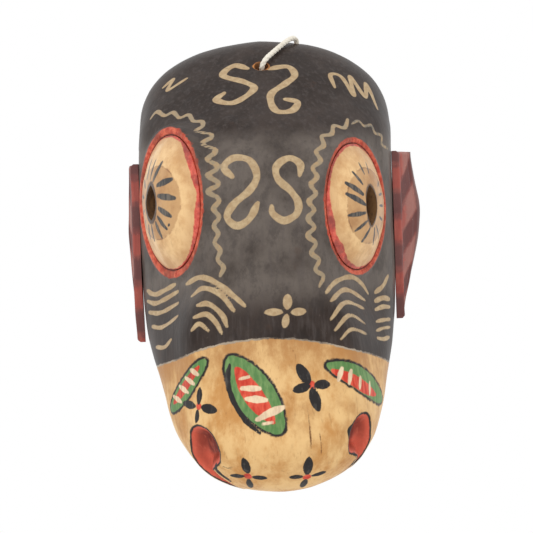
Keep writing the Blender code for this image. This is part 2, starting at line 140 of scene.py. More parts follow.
def smooth_through(stations, values, at):
    """A smooth curve through the values, level at both ends."""
    x, y = np.asarray(stations, float), np.asarray(values, float)
    slopes = np.zeros(len(x))
    slopes[1:-1] = (y[2:] - y[:-2]) / (x[2:] - x[:-2])
    i = np.clip(np.searchsorted(x, at) - 1, 0, len(x) - 2)
    span = x[i + 1] - x[i]
    t = np.clip((at - x[i]) / span, 0, 1)
    rise = y[i + 1] - y[i]
    bend = (1 - t) * (slopes[i] * span - rise) - t * (slopes[i + 1] * span - rise)
    return y[i] + t * rise + t * (1 - t) * bend


def smooth_step(t):
    t = np.clip(t, 0, 1)
    return t * t * (3 - 2 * t)


def smooth_min(a, b, blend):
    near = np.clip(blend - np.abs(a - b), 0, None) / blend
    return np.minimum(a, b) - near * near * blend / 4


def catmull_rom(a, b, c, d, t):
    return 0.5 * (2 * b + (c - a) * t + (2 * a - 5 * b + 4 * c - d) * t**2 + (3 * b - a - 3 * c + d) * t**3)


def spline(p, steps):
    """A smooth curve from the second point to the last but one; the end points only steer it."""
    t = np.linspace(0, 1, steps, endpoint=False)[:, None]
    spans = [catmull_rom(a, b, c, d, t) for a, b, c, d in zip(p[:-3], p[1:-2], p[2:-1], p[3:], strict=True)]
    return np.vstack([*spans, p[-2:-1]])


def run_along(line):
    """How far along a line each of its points lies."""
    return np.concatenate([[0], np.cumsum(np.linalg.norm(np.diff(line, axis=0), axis=1))])


def from_segment(points, a, b):
    """Each point's share of the way from a to b, and its distance from the segment."""
    along = b - a
    t = np.clip((points - a) @ along / max(along @ along, 1e-9), 0, 1)
    return t, np.linalg.norm(points - a - t[:, None] * along, axis=1)


def smooth_line(points, steps):
    """A dense smooth curve through a few points."""
    p = np.array(points, float)
    if len(p) == 2:
        return p[0] + np.linspace(0, 1, steps + 1)[:, None] * (p[1] - p[0])
    return spline(np.vstack([2 * p[0] - p[1], p, 2 * p[-1] - p[-2]]), steps)


def outline_curve(points):
    """The outline as dense (half width, drop), mirrored past both ends to stay smooth there."""
    p = np.array([(-points[1][0], points[1][1]), *points, (-points[-2][0], points[-2][1])], float)
    return spline(p, 24)


ANGLES = np.linspace(0, math.pi, 361)


def radius_table(points):
    half_width, drop = outline_curve(points).T
    up = CENTRE_DROP - drop
    radius = np.interp(ANGLES, np.arctan2(half_width, up), np.hypot(half_width, up))
    return radius, radius / np.hypot(radius, np.gradient(radius, ANGLES))


BACK_RADIUS, BACK_SQUARE = radius_table(UPPER_OUTLINE + BACK_CHIN)
FRONT_RADIUS, FRONT_SQUARE = radius_table(UPPER_OUTLINE + FRONT_CHIN)
TOP_CURVE = outline_curve(UPPER_OUTLINE + BACK_CHIN)
ARCH = TOP_CURVE[TOP_CURVE[:, 1] < UPPER_OUTLINE[5][1]].T


def blended(back, front, angle, forward):
    return np.interp(angle, ANGLES, back) * (1 - forward) + np.interp(angle, ANGLES, front) * forward


def lean(depth, drop):
    return BROW_LEAN * depth * (1 - smooth_step((drop - LEAN_END) / LEAN_FADE))


def outside(x, depth, drop):
    """Roughly how far a point lies outside the carved head; negative inside the wood's outer surface."""
    x = x + lean(depth, drop)
    up = CENTRE_DROP - drop
    angle = np.arctan2(np.abs(x), up)
    forward = smooth_step(depth / CHIN_SETBACK)
    radius = blended(BACK_RADIUS, FRONT_RADIUS, angle, forward)
    inset = (radius - np.hypot(x, up)) * blended(BACK_SQUARE, FRONT_SQUARE, angle, forward)
    stations, wall_depths, slopes = zip(*SHOULDER, strict=True)
    slope = smooth_through(np.radians(stations), slopes, angle)
    facet = smooth_through(np.radians(stations), wall_depths, angle) + slope * inset
    forehead = FOREHEAD_DEPTH + FOREHEAD_SLOPE * (drop - np.interp(np.abs(x), *ARCH))
    roundness = smooth_through(*zip(*ROUNDING, strict=True), drop)
    face = smooth_through(*zip(*PROFILE, strict=True), drop) - x**2 / (2 * roundness)
    carved = smooth_min(forehead, facet, CORNER_BLEND)
    slope = np.where(forehead < facet, FOREHEAD_SLOPE, slope)
    surface = smooth_min(face, carved, BROW_BLEND)
    on_facet = np.clip(0.5 + (face - carved) / (2 * BROW_BLEND), 0, 1)
    from_front = (depth - surface) / np.sqrt(1 + (on_facet * slope) ** 2)
    return -smooth_min(-from_front, inset, SHOULDER_BLEND)


def wood_left(depth, drop):
    """Wall thickness: more at the front of the muzzle."""
    muzzle = smooth_step((drop - 0.165) / 0.055) * smooth_step((depth - 0.015) / 0.060)
    return WALL + MUZZLE_EXTRA_WALL * muzzle


def ray_points(turn, rise, inner):
    """Where rays from the centre meet the outer or the inner surface."""
    across, ahead, along = np.sin(turn) * np.cos(rise), np.sin(rise), np.cos(turn) * np.cos(rise)
    low, high = np.zeros_like(turn), np.full_like(turn, 0.25)
    for _ in range(BISECTIONS):
        reach = (low + high) / 2
        depth, drop = reach * ahead, CENTRE_DROP - reach * along
        value = outside(reach * across, depth, drop) + (wood_left(depth, drop) if inner else 0)
        low, high = np.where(value < 0, reach, low), np.where(value < 0, high, reach)
    return np.stack([low * across, -low * ahead, RIM_TOP - CENTRE_DROP + low * along], axis=-1)


def on_face(points_mm):
    """Places on the outer surface, in metres, straight behind (x, drop) in millimetres."""
    x, drop = np.asarray(points_mm, float).T * MM
    above_chin = outside(x, np.full_like(x, 0.0005), drop) < 0
    low, high = np.where(above_chin, 0.0, CHIN_SETBACK), np.full_like(x, 0.20)
    for _ in range(BISECTIONS):
        depth = (low + high) / 2
        inside = outside(x, depth, drop) < 0
        low, high = np.where(inside, depth, low), np.where(inside, high, depth)
    return np.stack([x, -low, RIM_TOP - drop], axis=1)


def frame_matrix(at, x_axis, y_axis, z_axis):
    matrix = Matrix((x_axis, y_axis, z_axis)).transposed().to_4x4()
    matrix.translation = at
    return matrix


def face_frame(x, drop):
    """A frame on the outer surface: X to the viewer's right, Z outwards."""
    x, drop = x / MM, drop / MM
    at, right, below = (Vector(p) for p in on_face([(x, drop), (x + 1, drop), (x, drop + 1)]))
    normal = (below - at).cross(right - at).normalized()
    right = (right - at).normalized()
    return frame_matrix(at, right, normal.cross(right), normal)


def eye_frame(side, offset, drop):
    """A frame on the cheek facet, which leans as the brow does: Y up, Z outwards."""
    slope = 1 / (1 / FACET_SLOPE + side * BROW_LEAN)
    steep = math.hypot(1, slope)
    normal = Vector((side * slope / steep, -1 / steep, 0))
    up = Vector((0, 0, 1))
    depth = FACET_DEPTH + FACET_SLOPE * offset
    at = Vector((side * (SIDE_WALL - offset) - lean(depth, drop), -depth, RIM_TOP - drop))
    return frame_matrix(at - EYE_SINK * normal, up.cross(normal), up, normal)


def to_local(points, place):
    inverse = np.array(place.inverted())
    return points @ inverse[:3, :3].T + inverse[:3, 3]


rng = np.random.default_rng(7)


def chips(points, stretch, cell, seed):
    """Shallow tool marks: 0 in the middle of each scoop, up to about 1 on the ridges between them."""
    seeded = np.random.default_rng(seed)
    scaled = points / np.array(stretch) / cell
    low, high = scaled.min(0), scaled.max(0)
    count = int(np.prod(np.maximum(high - low, 1)) * 1.1)
    seeds = low + seeded.random((count, 3)) * (high - low)
    nearest = np.full(len(points), FAR)
    for seed_point in seeds:
        d = scaled - seed_point
        nearest = np.minimum(nearest, np.einsum("ij,ij->i", d, d))
    return np.clip(nearest, 0, 1)


def waves(points, size, seed, count=14):
    """Soft random waves, about -1 to 1."""
    seeded = np.random.default_rng(seed)
    total = np.zeros(len(points))
    for _ in range(count):
        direction = seeded.normal(size=3)
        direction *= (0.6 + 0.8 * seeded.random()) * 2 * math.pi / size / np.linalg.norm(direction)
        total += np.sin(points @ direction + seeded.random() * 2 * math.pi)
    return total / math.sqrt(count / 2) / 2


# ---- Painted marks, in millimetres as (x, drop) ----

TAN_STROKES = [  # (half width, points)
    (2.1, [(-9.5, 20), (-17.5, 18), (-24, 24), (-11.5, 29), (-6.5, 34), (-18, 42), (-28, 40), (-23.5, 35.5)]),
    (2.1, [(3, 21), (14, 20), (17.5, 26), (12, 31), (3, 38), (5, 48), (14, 48.5), (18, 43), (11, 41)]),
    (2.0, [(-20.5, 86), (-25, 80.5), (-19, 75.5), (-10.5, 77.5), (-7, 86), (-11, 93.5), (-20, 101),
           (-24, 108), (-19, 113), (-12, 109.5), (-7, 101)]),
    (2.0, [(16.5, 86.5), (17, 80), (11, 76.5), (4, 81), (4.5, 88), (11, 94.5), (15, 101), (14, 107.5),
           (7, 111), (1, 107), (0.5, 103)]),
    (1.2, [(-59.5, 29), (-53, 24), (-56.5, 31), (-45, 24.5)]),
    (1.4, [(40.5, 33.5), (38.5, 25.5), (45, 26.5), (51.5, 38), (50.5, 26), (58.5, 39), (60, 30), (65.5, 46)]),
    (1.5, [(-48, 144), (-39, 140.5), (-29, 145), (-16, 156.5)]),
    (1.5, [(-45, 151), (-38, 146.5), (-29, 150), (-22, 159)]),
    (1.4, [(-42, 155.5), (-35.5, 155), (-28.5, 161), (-26, 167.5)]),
    (1.4, [(-44, 162), (-37, 160.5), (-32, 165), (-29, 171)]),
    (1.3, [(-45.5, 169), (-41, 165.5), (-36, 169.5)]),
    (1.3, [(28.5, 151), (34.5, 145.5), (43.5, 143), (50.5, 147), (54.5, 153)]),
    (1.3, [(31, 155.5), (40, 150), (52, 156.5)]),
    (1.3, [(30.5, 165.5), (39, 157), (50.5, 161)]),
    (1.2, [(32.5, 171.5), (41, 164), (50.5, 169.5)]),
    (1.0, [(35.5, 176.5), (42, 171.5), (51, 175)]),
    (1.4, [(-72.5, 147.5), (-66, 149.5), (-54.5, 144)]),
    (1.3, [(-72.5, 153.5), (-65.5, 154.5), (-53, 148)]),
    (1.3, [(-71.5, 160), (-63.5, 160), (-53, 154.5)]),
    (1.2, [(-69.5, 168), (-62.5, 168), (-53, 161.5)]),
    (1.2, [(-67, 179.5), (-61.5, 179), (-57.5, 174.5)]),
    (1.5, [(59, 152.5), (64, 149.5), (68, 143.5)]),
    (1.5, [(58.5, 157.5), (64, 156), (68.5, 157)]),
    (1.3, [(58, 162.5), (63.5, 161), (68.5, 161.5)]),
    (1.1, [(58, 169), (63, 168.5), (68, 168.5)]),
    (0.9, [(57.5, 174), (63, 173), (67.5, 173)]),
    (1.2, [(58, 178), (62, 179), (66.5, 178.5)]),
]
ZIGZAG_LEFT = [(-67, 47), (-60, 45.5), (-51, 47.5), (-40, 52), (-32, 62.5), (-29.8, 77), (-29.3, 92),
               (-29.8, 106), (-30, 120), (-27.5, 140)]
ZIGZAG_RIGHT = [(47, 55.5), (39, 59), (33, 63), (29, 70), (26, 80), (24, 90), (22.5, 100), (22, 110),
                (21.5, 120), (23.5, 131), (27, 147)]
ZIGZAG_FADED = [(48, 55.5), (56, 56.5), (64, 61), (69.5, 70)]
TAN_PETALS = [(2.6, [(7, 158.5), (7.5, 151.5)]), (2.1, [(4, 160.5), (-5.5, 160.5)]),
              (2.2, [(9.5, 161), (17, 160.5)]),
              (2.1, [(6.5, 162.5), (5, 169)])]
MUZZLE_EDGE = [(-78, 198), (-66, 190.5), (-56, 186.5), (-46, 182), (-38, 179), (-24, 176.5), (-5, 175),
               (13, 176), (30, 179.5), (46, 184), (60, 189.5), (68, 194.5), (78, 201)]
LEAVES = [  # (half width, points), then the red lens and the cream bars across it
    (10.6, [(-24.5, 185.5), (-17, 197), (-8.5, 210), (0, 222.5)]),
    (6.0, [(-39, 185.5), (-45.5, 194), (-53, 205), (-58.5, 213.5)]),
    (7.2, [(28.5, 190), (39, 194.5), (50.5, 202), (59, 212)]),
]
LENSES = [
    (5.4, [(-21.5, 190), (-14, 203), (-3, 218.5)]),
    (3.1, [(-42, 188.5), (-49, 198), (-57, 210)]),
    (3.7, [(30, 192.8), (41, 198.5), (55, 208.5)]),
]
BARS = [
    (1.2, [(-20, 195.5), (-15, 194.5)]), (1.8, [(-19, 200.5), (-9.5, 201)]), (1.9, [(-17, 206), (-6, 207)]),
    (2.0, [(-11.5, 217), (-4, 213.5), (3, 211)]), (1.0, [(-9, 219.5), (-3, 218.5)]),
    (1.6, [(-46.5, 190.5), (-42.5, 193)]), (1.5, [(-50, 195), (-45, 198)]),
    (1.5, [(-53.5, 200), (-48.5, 203)]),
    (1.4, [(-57, 206), (-52.5, 208.5)]),
    (1.5, [(35.5, 192), (33, 198.5)]), (1.5, [(40.5, 193.5), (39, 200.5)]), (1.5, [(46, 197.5), (45, 203.5)]),
    (1.4, [(51.5, 201), (51, 208)]),
]
BLACK_PETALS = [
    (2.2, [(-42.5, 208.5), (-41.5, 200)]), (2.4, [(-44.5, 210), (-51.5, 209)]),
    (2.7, [(-40.5, 210.5), (-33, 212)]),
    (2.0, [(-43, 212), (-44, 219.5)]),
    (3.2, [(17, 198.5), (11.5, 189)]), (2.6, [(17, 200.5), (8.5, 202.5)]), (2.7, [(20.5, 200), (28, 200)]),
    (3.1, [(18.5, 202.5), (21.5, 213.5)]),
    (2.6, [(-17.5, 246), (-19.5, 237.5)]), (1.8, [(-19.5, 248), (-27, 248)]),
    (1.9, [(-15, 248.5), (-7, 249.3)]),
    (2.0, [(-17, 250), (-16, 255.5)]),
    (2.8, [(14.5, 247.5), (15.5, 238)]), (1.8, [(12, 249), (4.5, 249)]), (1.7, [(17, 249), (25.5, 247.5)]),
    (2.1, [(13.5, 251), (12, 256)]),
]
RED_DOTS = [(2.0, (-42.5, 210)), (2.3, (18.5, 200)), (1.4, (22.5, 200.5)), (2.3, (-17.5, 248)),
            (2.3, (14.3, 249.5))]
BLACK_LINES = [  # beside the middle leaf, beside the nostrils and along the muzzle's lower edge
    (1.4, [(-25.2, 188), (-26.4, 195), (-24.5, 205.5), (-18.1, 216.8), (-10.3, 224)]),
    (1.3, [(-43, 222.5), (-37, 225.5), (-33.5, 231.5), (-35, 239), (-33.5, 245.5), (-27, 251.5)]),
    (0.5, [(-32, 241), (-28.5, 243.5), (-25, 242.5)]),
    (1.2, [(43.5, 220.5), (38, 224), (37.8, 229.5), (40.5, 236), (42, 241.5)]),
    (0.7, [(42.5, 241.5), (38, 247.5), (30, 252)]),
]
NOSTRILS = [  # (x, drop, radius) down each hollow
    [(-40.8, 232.8, 12.8), (-42.5, 240.5, 8.6), (-37.5, 246.5, 5.6), (-29, 252.5, 3.0), (-22, 256, 0.8)],
    [(44.8, 229.3, 12.4), (46.8, 235.5, 7.2), (45.5, 240, 4.4), (41.5, 245, 1.6)],
]


def zigzag(points, reach, pitch):
    """A wavy line about a smooth one: places that swing to either side of it."""
    line = smooth_line(points, 20)
    run = run_along(line)
    count = int(run[-1] / pitch)
    at = np.linspace(0, run[-1], count + 1)
    middle = np.stack([np.interp(at, run, line[:, k]) for k in range(2)], axis=1)
    ahead = np.gradient(middle, axis=0)
    square = np.stack([-ahead[:, 1], ahead[:, 0]], axis=1) / np.linalg.norm(ahead, axis=1)[:, None]
    swing = reach * (-1.0) ** np.arange(count + 1) * (0.8 + 0.4 * rng.random(count + 1))
    return middle + square * swing[:, None]


def brush(share, length):
    """A stroke's relative width along its length: rounded ends, slightly uneven."""
    ends = np.minimum(share, 1 - share) * length
    return (0.62 + 0.38 * np.clip(ends / 4, 0, 1)) * (1 + 0.10 * np.sin(share * length * 0.45 + length))


def petal(share, length):
    return np.sin(math.pi * np.clip(share * 0.86 + 0.09, 0, 1)) ** 0.75


def leaf(share, length):
    return np.sin(math.pi * np.clip(share * 0.94 + 0.03, 0, 1)) ** 0.62


def even(share, length):
    return np.ones_like(share)


def stroke_distance(vertices, half_width, points, profile, margin=5.0):
    """Signed distance, in millimetres, from each vertex to a painted stroke's edge; 9 far away."""
    line = raise_pads(on_face(smooth_line(points, 8))) / MM
    run = run_along(line)
    width = half_width * profile(run / run[-1], run[-1])
    distance = np.full(len(vertices), FAR)
    reach = half_width + margin
    near = np.all((vertices > line.min(0) - reach) & (vertices < line.max(0) + reach), axis=1)
    chosen = vertices[near]
    best = np.full(len(chosen), FAR)
    for a, b, wide_a, wide_b in zip(line[:-1], line[1:], width[:-1], width[1:], strict=True):
        t, gap = from_segment(chosen, a, b)
        best = np.minimum(best, gap - (wide_a + (wide_b - wide_a) * t))
    distance[near] = best
    return distance


def least(vertices, strokes, profile):
    return np.minimum.reduce([stroke_distance(vertices, width, points, profile) for width, points in strokes])


def nostril_distance(vertices, stations):
    """Signed distance in millimetres to a nostril's rim."""
    places = on_face([(x, drop) for x, drop, _ in stations]) / MM
    width = [station[2] for station in stations]
    best = np.full(len(vertices), 99.0)
    for a, b, wide_a, wide_b in zip(places[:-1], places[1:], width[:-1], width[1:], strict=True):
        t, gap = from_segment(vertices, a, b)
        best = np.minimum(best, gap - wide_a - (wide_b - wide_a) * t)
    return best


# ---- Materials ----


def rgb(red, green, blue):
    """A colour as seen on screen, 0 to 255, as the linear values that shaders take."""
    return (*((value / 255 / 12.92 if value < 11 else ((value / 255 + 0.055) / 1.055) ** 2.4)
              for value in (red, green, blue)), 1)


class Graph:
    """A Principled material and short ways to add nodes to it."""

    def __init__(self, name, roughness, bump=0.3, **settings):
        self.material = bpy.data.materials.new(name)
        self.material.use_nodes = True
        self.tree = self.material.node_tree
        self.shader = self.tree.nodes["Principled BSDF"]
        self.shader.inputs["Roughness"].default_value = roughness
        for key, value in settings.items():
            self.shader.inputs[key.replace("_", " ")].default_value = value
        self.place = self.add("TexCoord").outputs["Object"]
        self.bump = bump

    def add(self, kind, inputs=None, **settings):
        node = self.tree.nodes.new("ShaderNode" + kind)
        for key, value in settings.items():
            setattr(node, key, value)
        for key, value in (inputs or {}).items():
            if isinstance(value, bpy.types.NodeSocket):
                self.tree.links.new(value, node.inputs[key])
            else:
                node.inputs[key].default_value = value
        return node

    def math(self, operation, a, b=0.0, clamp=False):
        return self.add("Math", {0: a, 1: b}, operation=operation, use_clamp=clamp).outputs[0]

    def noise(self, size, stretch=(1, 1, 1), detail=5, rough=0.55, shift=0.0):
        """Noise from 0 to 1 whose features are about this size, in metres."""
        scale = tuple(1 / (size * s) for s in stretch)
        mapped = self.add("Mapping", {"Vector": self.place, "Location": (shift,) * 3, "Scale": scale})
        inputs = {"Vector": mapped.outputs[0], "Scale": 1.0, "Detail": detail, "Roughness": rough}
        return self.add("TexNoise", inputs).outputs[0]

    def ramp(self, value, low, high):
        """0 below low, 1 above high."""
        return self.add("MapRange", {0: value, 1: low, 2: high}, interpolation_type="SMOOTHSTEP").outputs[0]

    def mix(self, share, a, b, blend="MIX"):
        node = self.add("Mix", data_type="RGBA", blend_type=blend)
        for index, value in ((0, share), (6, a), (7, b)):
            if isinstance(value, bpy.types.NodeSocket):
                self.tree.links.new(value, node.inputs[index])
            else:
                node.inputs[index].default_value = value
        return node.outputs[2]

    def veil(self, share, strength, a, b):
        """b over a, thinned by a strength."""
        return self.mix(self.math("MULTIPLY", share, strength), a, b)

    def attribute(self, name):
        return self.add("Attribute", attribute_name=name).outputs["Fac"]

    def inside(self, name, wander, edge=0.0, soft=0.35, ragged=0.6):
        """1 within a painted shape, whose edge wanders with a noise."""
        shift = self.math("MULTIPLY", self.math("SUBTRACT", wander, 0.5), ragged * 2)
        shifted = self.math("ADD", self.attribute(name), shift)
        return self.ramp(self.math("SUBTRACT", edge, shifted), -soft, soft)

    def finish(self, colour, roughness=None, height=None, distance=0.0004):
        self.tree.links.new(colour, self.shader.inputs["Base Color"])
        if roughness is not None:
            self.tree.links.new(roughness, self.shader.inputs["Roughness"])
        if height is not None:
            bump = self.add("Bump", {"Height": height, "Strength": self.bump, "Distance": distance})
            self.tree.links.new(bump.outputs[0], self.shader.inputs["Normal"])
        return self.material


def make_paint():
    """The head's outside: black ground, tan strokes, the cream muzzle with its flowers, red rings."""
    g = Graph("painted_wood", 0.42, bump=0.45, Coat_Weight=0.05, Coat_Roughness=0.28, Specular_IOR_Level=0.14)
    fine = g.noise(0.0011, detail=3)
    ragged = g.noise(0.0028, detail=4)
    brushed = g.noise(0.0022, stretch=(1, 1, 9), detail=4)
    cloud = g.noise(0.030, detail=6, rough=0.62)
    stains = g.noise(0.016, stretch=(1, 1, 1.8), detail=7, rough=0.68, shift=3.0)
    grain = g.noise(0.0016, stretch=(1, 1, 14), detail=5, shift=7.0)
    # Black ground: brown-black, with a painted highlight that makes it greyer in a band across the face from
    # the brow down past the eyes, scuffed to lighter specks
    black = g.mix(g.ramp(cloud, 0.38, 0.62), rgb(43, 33, 28), rgb(60, 50, 45))
    black = g.veil(g.attribute("painted_highlight_band"), g.ramp(cloud, 0.15, 0.60), black, rgb(102, 93, 86))
    patches = g.ramp(g.noise(0.0065, stretch=(1, 1, 1.6), detail=6, rough=0.7, shift=5.0), 0.44, 0.66)
    black = g.veil(patches, 0.42, black, rgb(42, 37, 36))
    black = g.veil(g.ramp(brushed, 0.45, 0.75), 0.45, black, rgb(84, 76, 73))
    black = g.veil(g.ramp(stains, 0.60, 0.74), 0.45, black, rgb(74, 50, 36))
    black = g.veil(g.ramp(fine, 0.68, 0.80), 0.4, black, rgb(112, 98, 86))
    # Tan brush strokes, thin enough for the ground to show through here and there
    tan = g.mix(g.ramp(ragged, 0.35, 0.7), rgb(172, 145, 110), rgb(200, 174, 134))
    tan = g.veil(g.attribute("fade"), g.ramp(ragged, 0.3, 0.6), tan, rgb(120, 112, 100))
    cover = g.math("SUBTRACT", 1.0, g.math("MULTIPLY", g.ramp(fine, 0.62, 0.75), 0.55))
    painted = g.veil(g.inside("tan", ragged, soft=0.30, ragged=0.35), cover, black, tan)
    # Cream muzzle: ochre with brown staining that follows the grain
    cream = g.mix(g.ramp(stains, 0.40, 0.66), rgb(228, 188, 130), rgb(196, 142, 82))
    cream = g.veil(g.ramp(cloud, 0.55, 0.72), 0.5, cream, rgb(168, 114, 62))
    cream = g.veil(g.ramp(grain, 0.56, 0.74), 0.40, cream, rgb(150, 106, 62))
    cream = g.veil(g.ramp(fine, 0.68, 0.8), 0.4, cream, rgb(120, 84, 52))
    edge_dirt = g.math("MULTIPLY", g.ramp(g.attribute("edge"), -24.0, 0.0), g.ramp(stains, 0.25, 0.55))
    cream = g.veil(edge_dirt, 0.8, cream, rgb(174, 124, 74))
    cream = g.mix(g.inside("crack", fine, soft=0.3, ragged=0.4), cream, rgb(112, 72, 40))
    painted = g.mix(g.inside("edge", ragged, soft=0.25, ragged=1.0), painted, cream)
    lip = g.math("MULTIPLY", g.inside("edge", ragged, edge=0.7, soft=0.3, ragged=1.0),
                 g.math("SUBTRACT", 1.0, g.inside("edge", ragged, edge=-0.1, soft=0.3, ragged=1.0)))
    painted = g.veil(lip, g.ramp(cloud, 0.35, 0.6), painted, rgb(176, 160, 140))
    # Flowers and leaves
    green = g.mix(g.ramp(brushed, 0.35, 0.7), rgb(86, 126, 72), rgb(118, 150, 92))
    dark = g.veil(g.ramp(brushed, 0.50, 0.72), 0.55, rgb(42, 39, 38), rgb(92, 88, 84))
    painted = g.mix(g.inside("outline", ragged, soft=0.5, ragged=1.1), painted, dark)
    painted = g.mix(g.inside("green", ragged, soft=0.3, ragged=0.7), painted, green)
    red = g.mix(g.ramp(brushed, 0.35, 0.68), rgb(192, 56, 40), rgb(226, 96, 72))
    red = g.veil(g.ramp(stains, 0.52, 0.66), 0.5, red, rgb(140, 52, 40))
    painted = g.mix(g.inside("red", ragged, soft=0.3, ragged=0.5), painted, red)
    pale = g.mix(g.ramp(brushed, 0.3, 0.65), rgb(208, 180, 150), rgb(236, 212, 176))
    painted = g.mix(g.inside("bar", ragged, soft=0.3, ragged=0.5), painted, pale)
    # Nostrils: red hollows with a black edge, and painted shade that darkens them deep inside
    painted = g.mix(g.inside("nostril", ragged, edge=0.7, soft=0.4, ragged=0.8), painted, dark)
    within = g.math("MULTIPLY", g.attribute("nostril"), -1.0)
    # Painted shade: darker towards the deep middle of each hollow
    deep = g.ramp(g.math("ADD", within, g.math("MULTIPLY", cloud, 3.0)), 2.8, 6.0)
    nostril = g.mix(deep, rgb(206, 92, 70), rgb(112, 40, 30))
    nostril = g.veil(g.ramp(brushed, 0.5, 0.7), 0.3, nostril, rgb(218, 116, 90))
    painted = g.mix(g.inside("nostril", ragged, edge=-0.6, soft=0.3, ragged=0.5), painted, nostril)
    painted = g.mix(g.inside("black", ragged, soft=0.25, ragged=0.5), painted, dark)
    # The rings round the eyes
    ring = g.mix(g.ramp(ragged, 0.35, 0.65), rgb(178, 66, 48), rgb(216, 108, 80))
    ring = g.veil(g.ramp(stains, 0.44, 0.64), 0.75, ring, rgb(112, 58, 46))
    painted = g.mix(g.inside("ring", ragged, soft=0.35, ragged=0.9), painted, ring)
    # Painted shade: a dark line along the groove round each dome
    painted = g.mix(g.inside("groove", fine, soft=0.5, ragged=0.3), painted, rgb(70, 30, 26))
    # Bare chipped wood round the cord's hole and along the rim's edge
    bare = g.mix(g.ramp(grain, 0.35, 0.7), rgb(186, 122, 66), rgb(128, 78, 42))
    painted = g.mix(g.inside("hole", ragged, soft=0.3, ragged=1.0), painted, bare)
    painted = g.mix(g.inside("worn", ragged, soft=0.3, ragged=1.6), painted, bare)
    rough = g.math("ADD", g.math("MULTIPLY", cloud, 0.30), g.math("MULTIPLY", brushed, 0.16))
    rough = g.math("ADD", rough, 0.20)
    raised = g.math("MULTIPLY", g.inside("tan", ragged, soft=0.5), 0.5)
    height = g.math("ADD", g.math("MULTIPLY", brushed, 0.7), raised)
    height = g.math("SUBTRACT", height, g.math("MULTIPLY", g.inside("crack", fine, soft=0.4), 2.0))
    return g.finish(painted, rough, height)


def make_bare_wood(name, light, mid, deep):
    """Unpainted carved wood, its grain running down the head."""
    g = Graph(name, 0.72, bump=0.5)
    grain = g.noise(0.0013, stretch=(1, 1, 22), detail=6)
    rings = g.noise(0.007, stretch=(1, 1, 10), detail=3, shift=4.0)
    smoke = g.noise(0.035, detail=6, rough=0.65, shift=9.0)
    colour = g.mix(g.ramp(rings, 0.36, 0.66), light, mid)
    colour = g.veil(g.ramp(grain, 0.48, 0.72), 0.7, colour, deep)
    colour = g.veil(g.ramp(smoke, 0.48, 0.7), 0.6, colour, deep)
    return g.finish(colour, g.math("ADD", g.math("MULTIPLY", grain, 0.25), 0.58), grain, 0.0006)


def make_eye_paint():
    """Cream domes: a darker iris, black strokes round the pupil, red lapping on from the ring."""
    g = Graph("cream_paint", 0.40, bump=0.4, Coat_Weight=0.2, Coat_Roughness=0.25)
    fine = g.noise(0.0010, detail=3)
    ragged = g.noise(0.0026, detail=4)
    brushed = g.noise(0.0020, stretch=(1, 1, 7), detail=4)
    stains = g.noise(0.013, detail=7, rough=0.66, shift=2.0)
    cream = g.mix(g.ramp(stains, 0.38, 0.66), rgb(232, 192, 136), rgb(204, 156, 100))
    cream = g.veil(g.ramp(brushed, 0.52, 0.74), 0.4, cream, rgb(184, 138, 86))
    iris = g.mix(g.ramp(stains, 0.40, 0.66), rgb(188, 142, 90), rgb(164, 116, 68))
    colour = g.veil(g.inside("iris", ragged, soft=0.5, ragged=0.9), 0.8, cream, iris)
    line = g.math("MULTIPLY", g.inside("iris", ragged, edge=0.5, soft=0.35),
                  g.math("SUBTRACT", 1.0, g.inside("iris", ragged, edge=-0.3, soft=0.35)))
    colour = g.veil(line, g.ramp(stains, 0.42, 0.56), colour, rgb(150, 104, 62))
    colour = g.veil(g.ramp(fine, 0.70, 0.80), 0.45, colour, rgb(126, 90, 56))
    rim_dirt = g.ramp(g.math("MULTIPLY", g.attribute("lap"), -1.0), -7.0, -0.5)
    colour = g.veil(rim_dirt, 0.35, colour, rgb(176, 126, 78))
    black = g.mix(g.ramp(brushed, 0.4, 0.7), rgb(44, 42, 42), rgb(100, 90, 78))
    colour = g.mix(g.inside("lash", ragged, soft=0.3, ragged=0.45), colour, black)
    colour = g.mix(g.inside("pupil", ragged, soft=0.4, ragged=0.5), colour, rgb(74, 50, 30))
    red = g.mix(g.ramp(ragged, 0.35, 0.65), rgb(190, 62, 46), rgb(220, 96, 74))
    red = g.veil(g.ramp(stains, 0.46, 0.62), 0.7, red, rgb(120, 48, 38))
    colour = g.mix(g.inside("lap", ragged, soft=0.3, ragged=0.7), colour, red)
    rough = g.math("ADD", g.math("MULTIPLY", stains, 0.3), 0.24)
    return g.finish(colour, rough, brushed)


def make_ear_paint():
    """Faded red ears with darker diagonal bands, orange patches, and pale streaks that are a painted
    highlight on the ridges.
    """
    g = Graph("red_paint", 0.42, bump=0.4, Coat_Weight=0.15, Coat_Roughness=0.3)
    fine = g.noise(0.0010, detail=3)
    ragged = g.noise(0.0030, detail=4)
    brushed = g.noise(0.0022, stretch=(1, 1, 6), detail=4)
    stains = g.noise(0.012, detail=6, rough=0.65)
    red = g.mix(g.ramp(stains, 0.36, 0.64), rgb(138, 66, 54), rgb(112, 44, 38))
    red = g.veil(g.ramp(brushed, 0.5, 0.72), 0.5, red, rgb(156, 84, 72))
    # Painted highlight: pale streaks between the dark bands, where the carved ridges catch the light
    red = g.veil(g.inside("pale", ragged, soft=1.6, ragged=2.6), 0.6, red, rgb(172, 118, 106))
    orange = g.mix(g.ramp(brushed, 0.3, 0.7), rgb(158, 54, 40), rgb(176, 76, 56))
    red = g.veil(g.inside("orange", ragged, soft=1.4, ragged=2.4), 0.7, red, orange)
    red = g.veil(g.inside("band", ragged, soft=1.4, ragged=2.2), 0.8, red, rgb(88, 38, 34))
    red = g.veil(g.inside("rim", ragged, soft=0.5, ragged=0.8), 0.8, red, rgb(92, 48, 44))
    red = g.veil(g.ramp(fine, 0.66, 0.78), 0.5, red, rgb(206, 160, 140))
    return g.finish(red, g.math("ADD", g.math("MULTIPLY", stains, 0.3), 0.26), brushed)


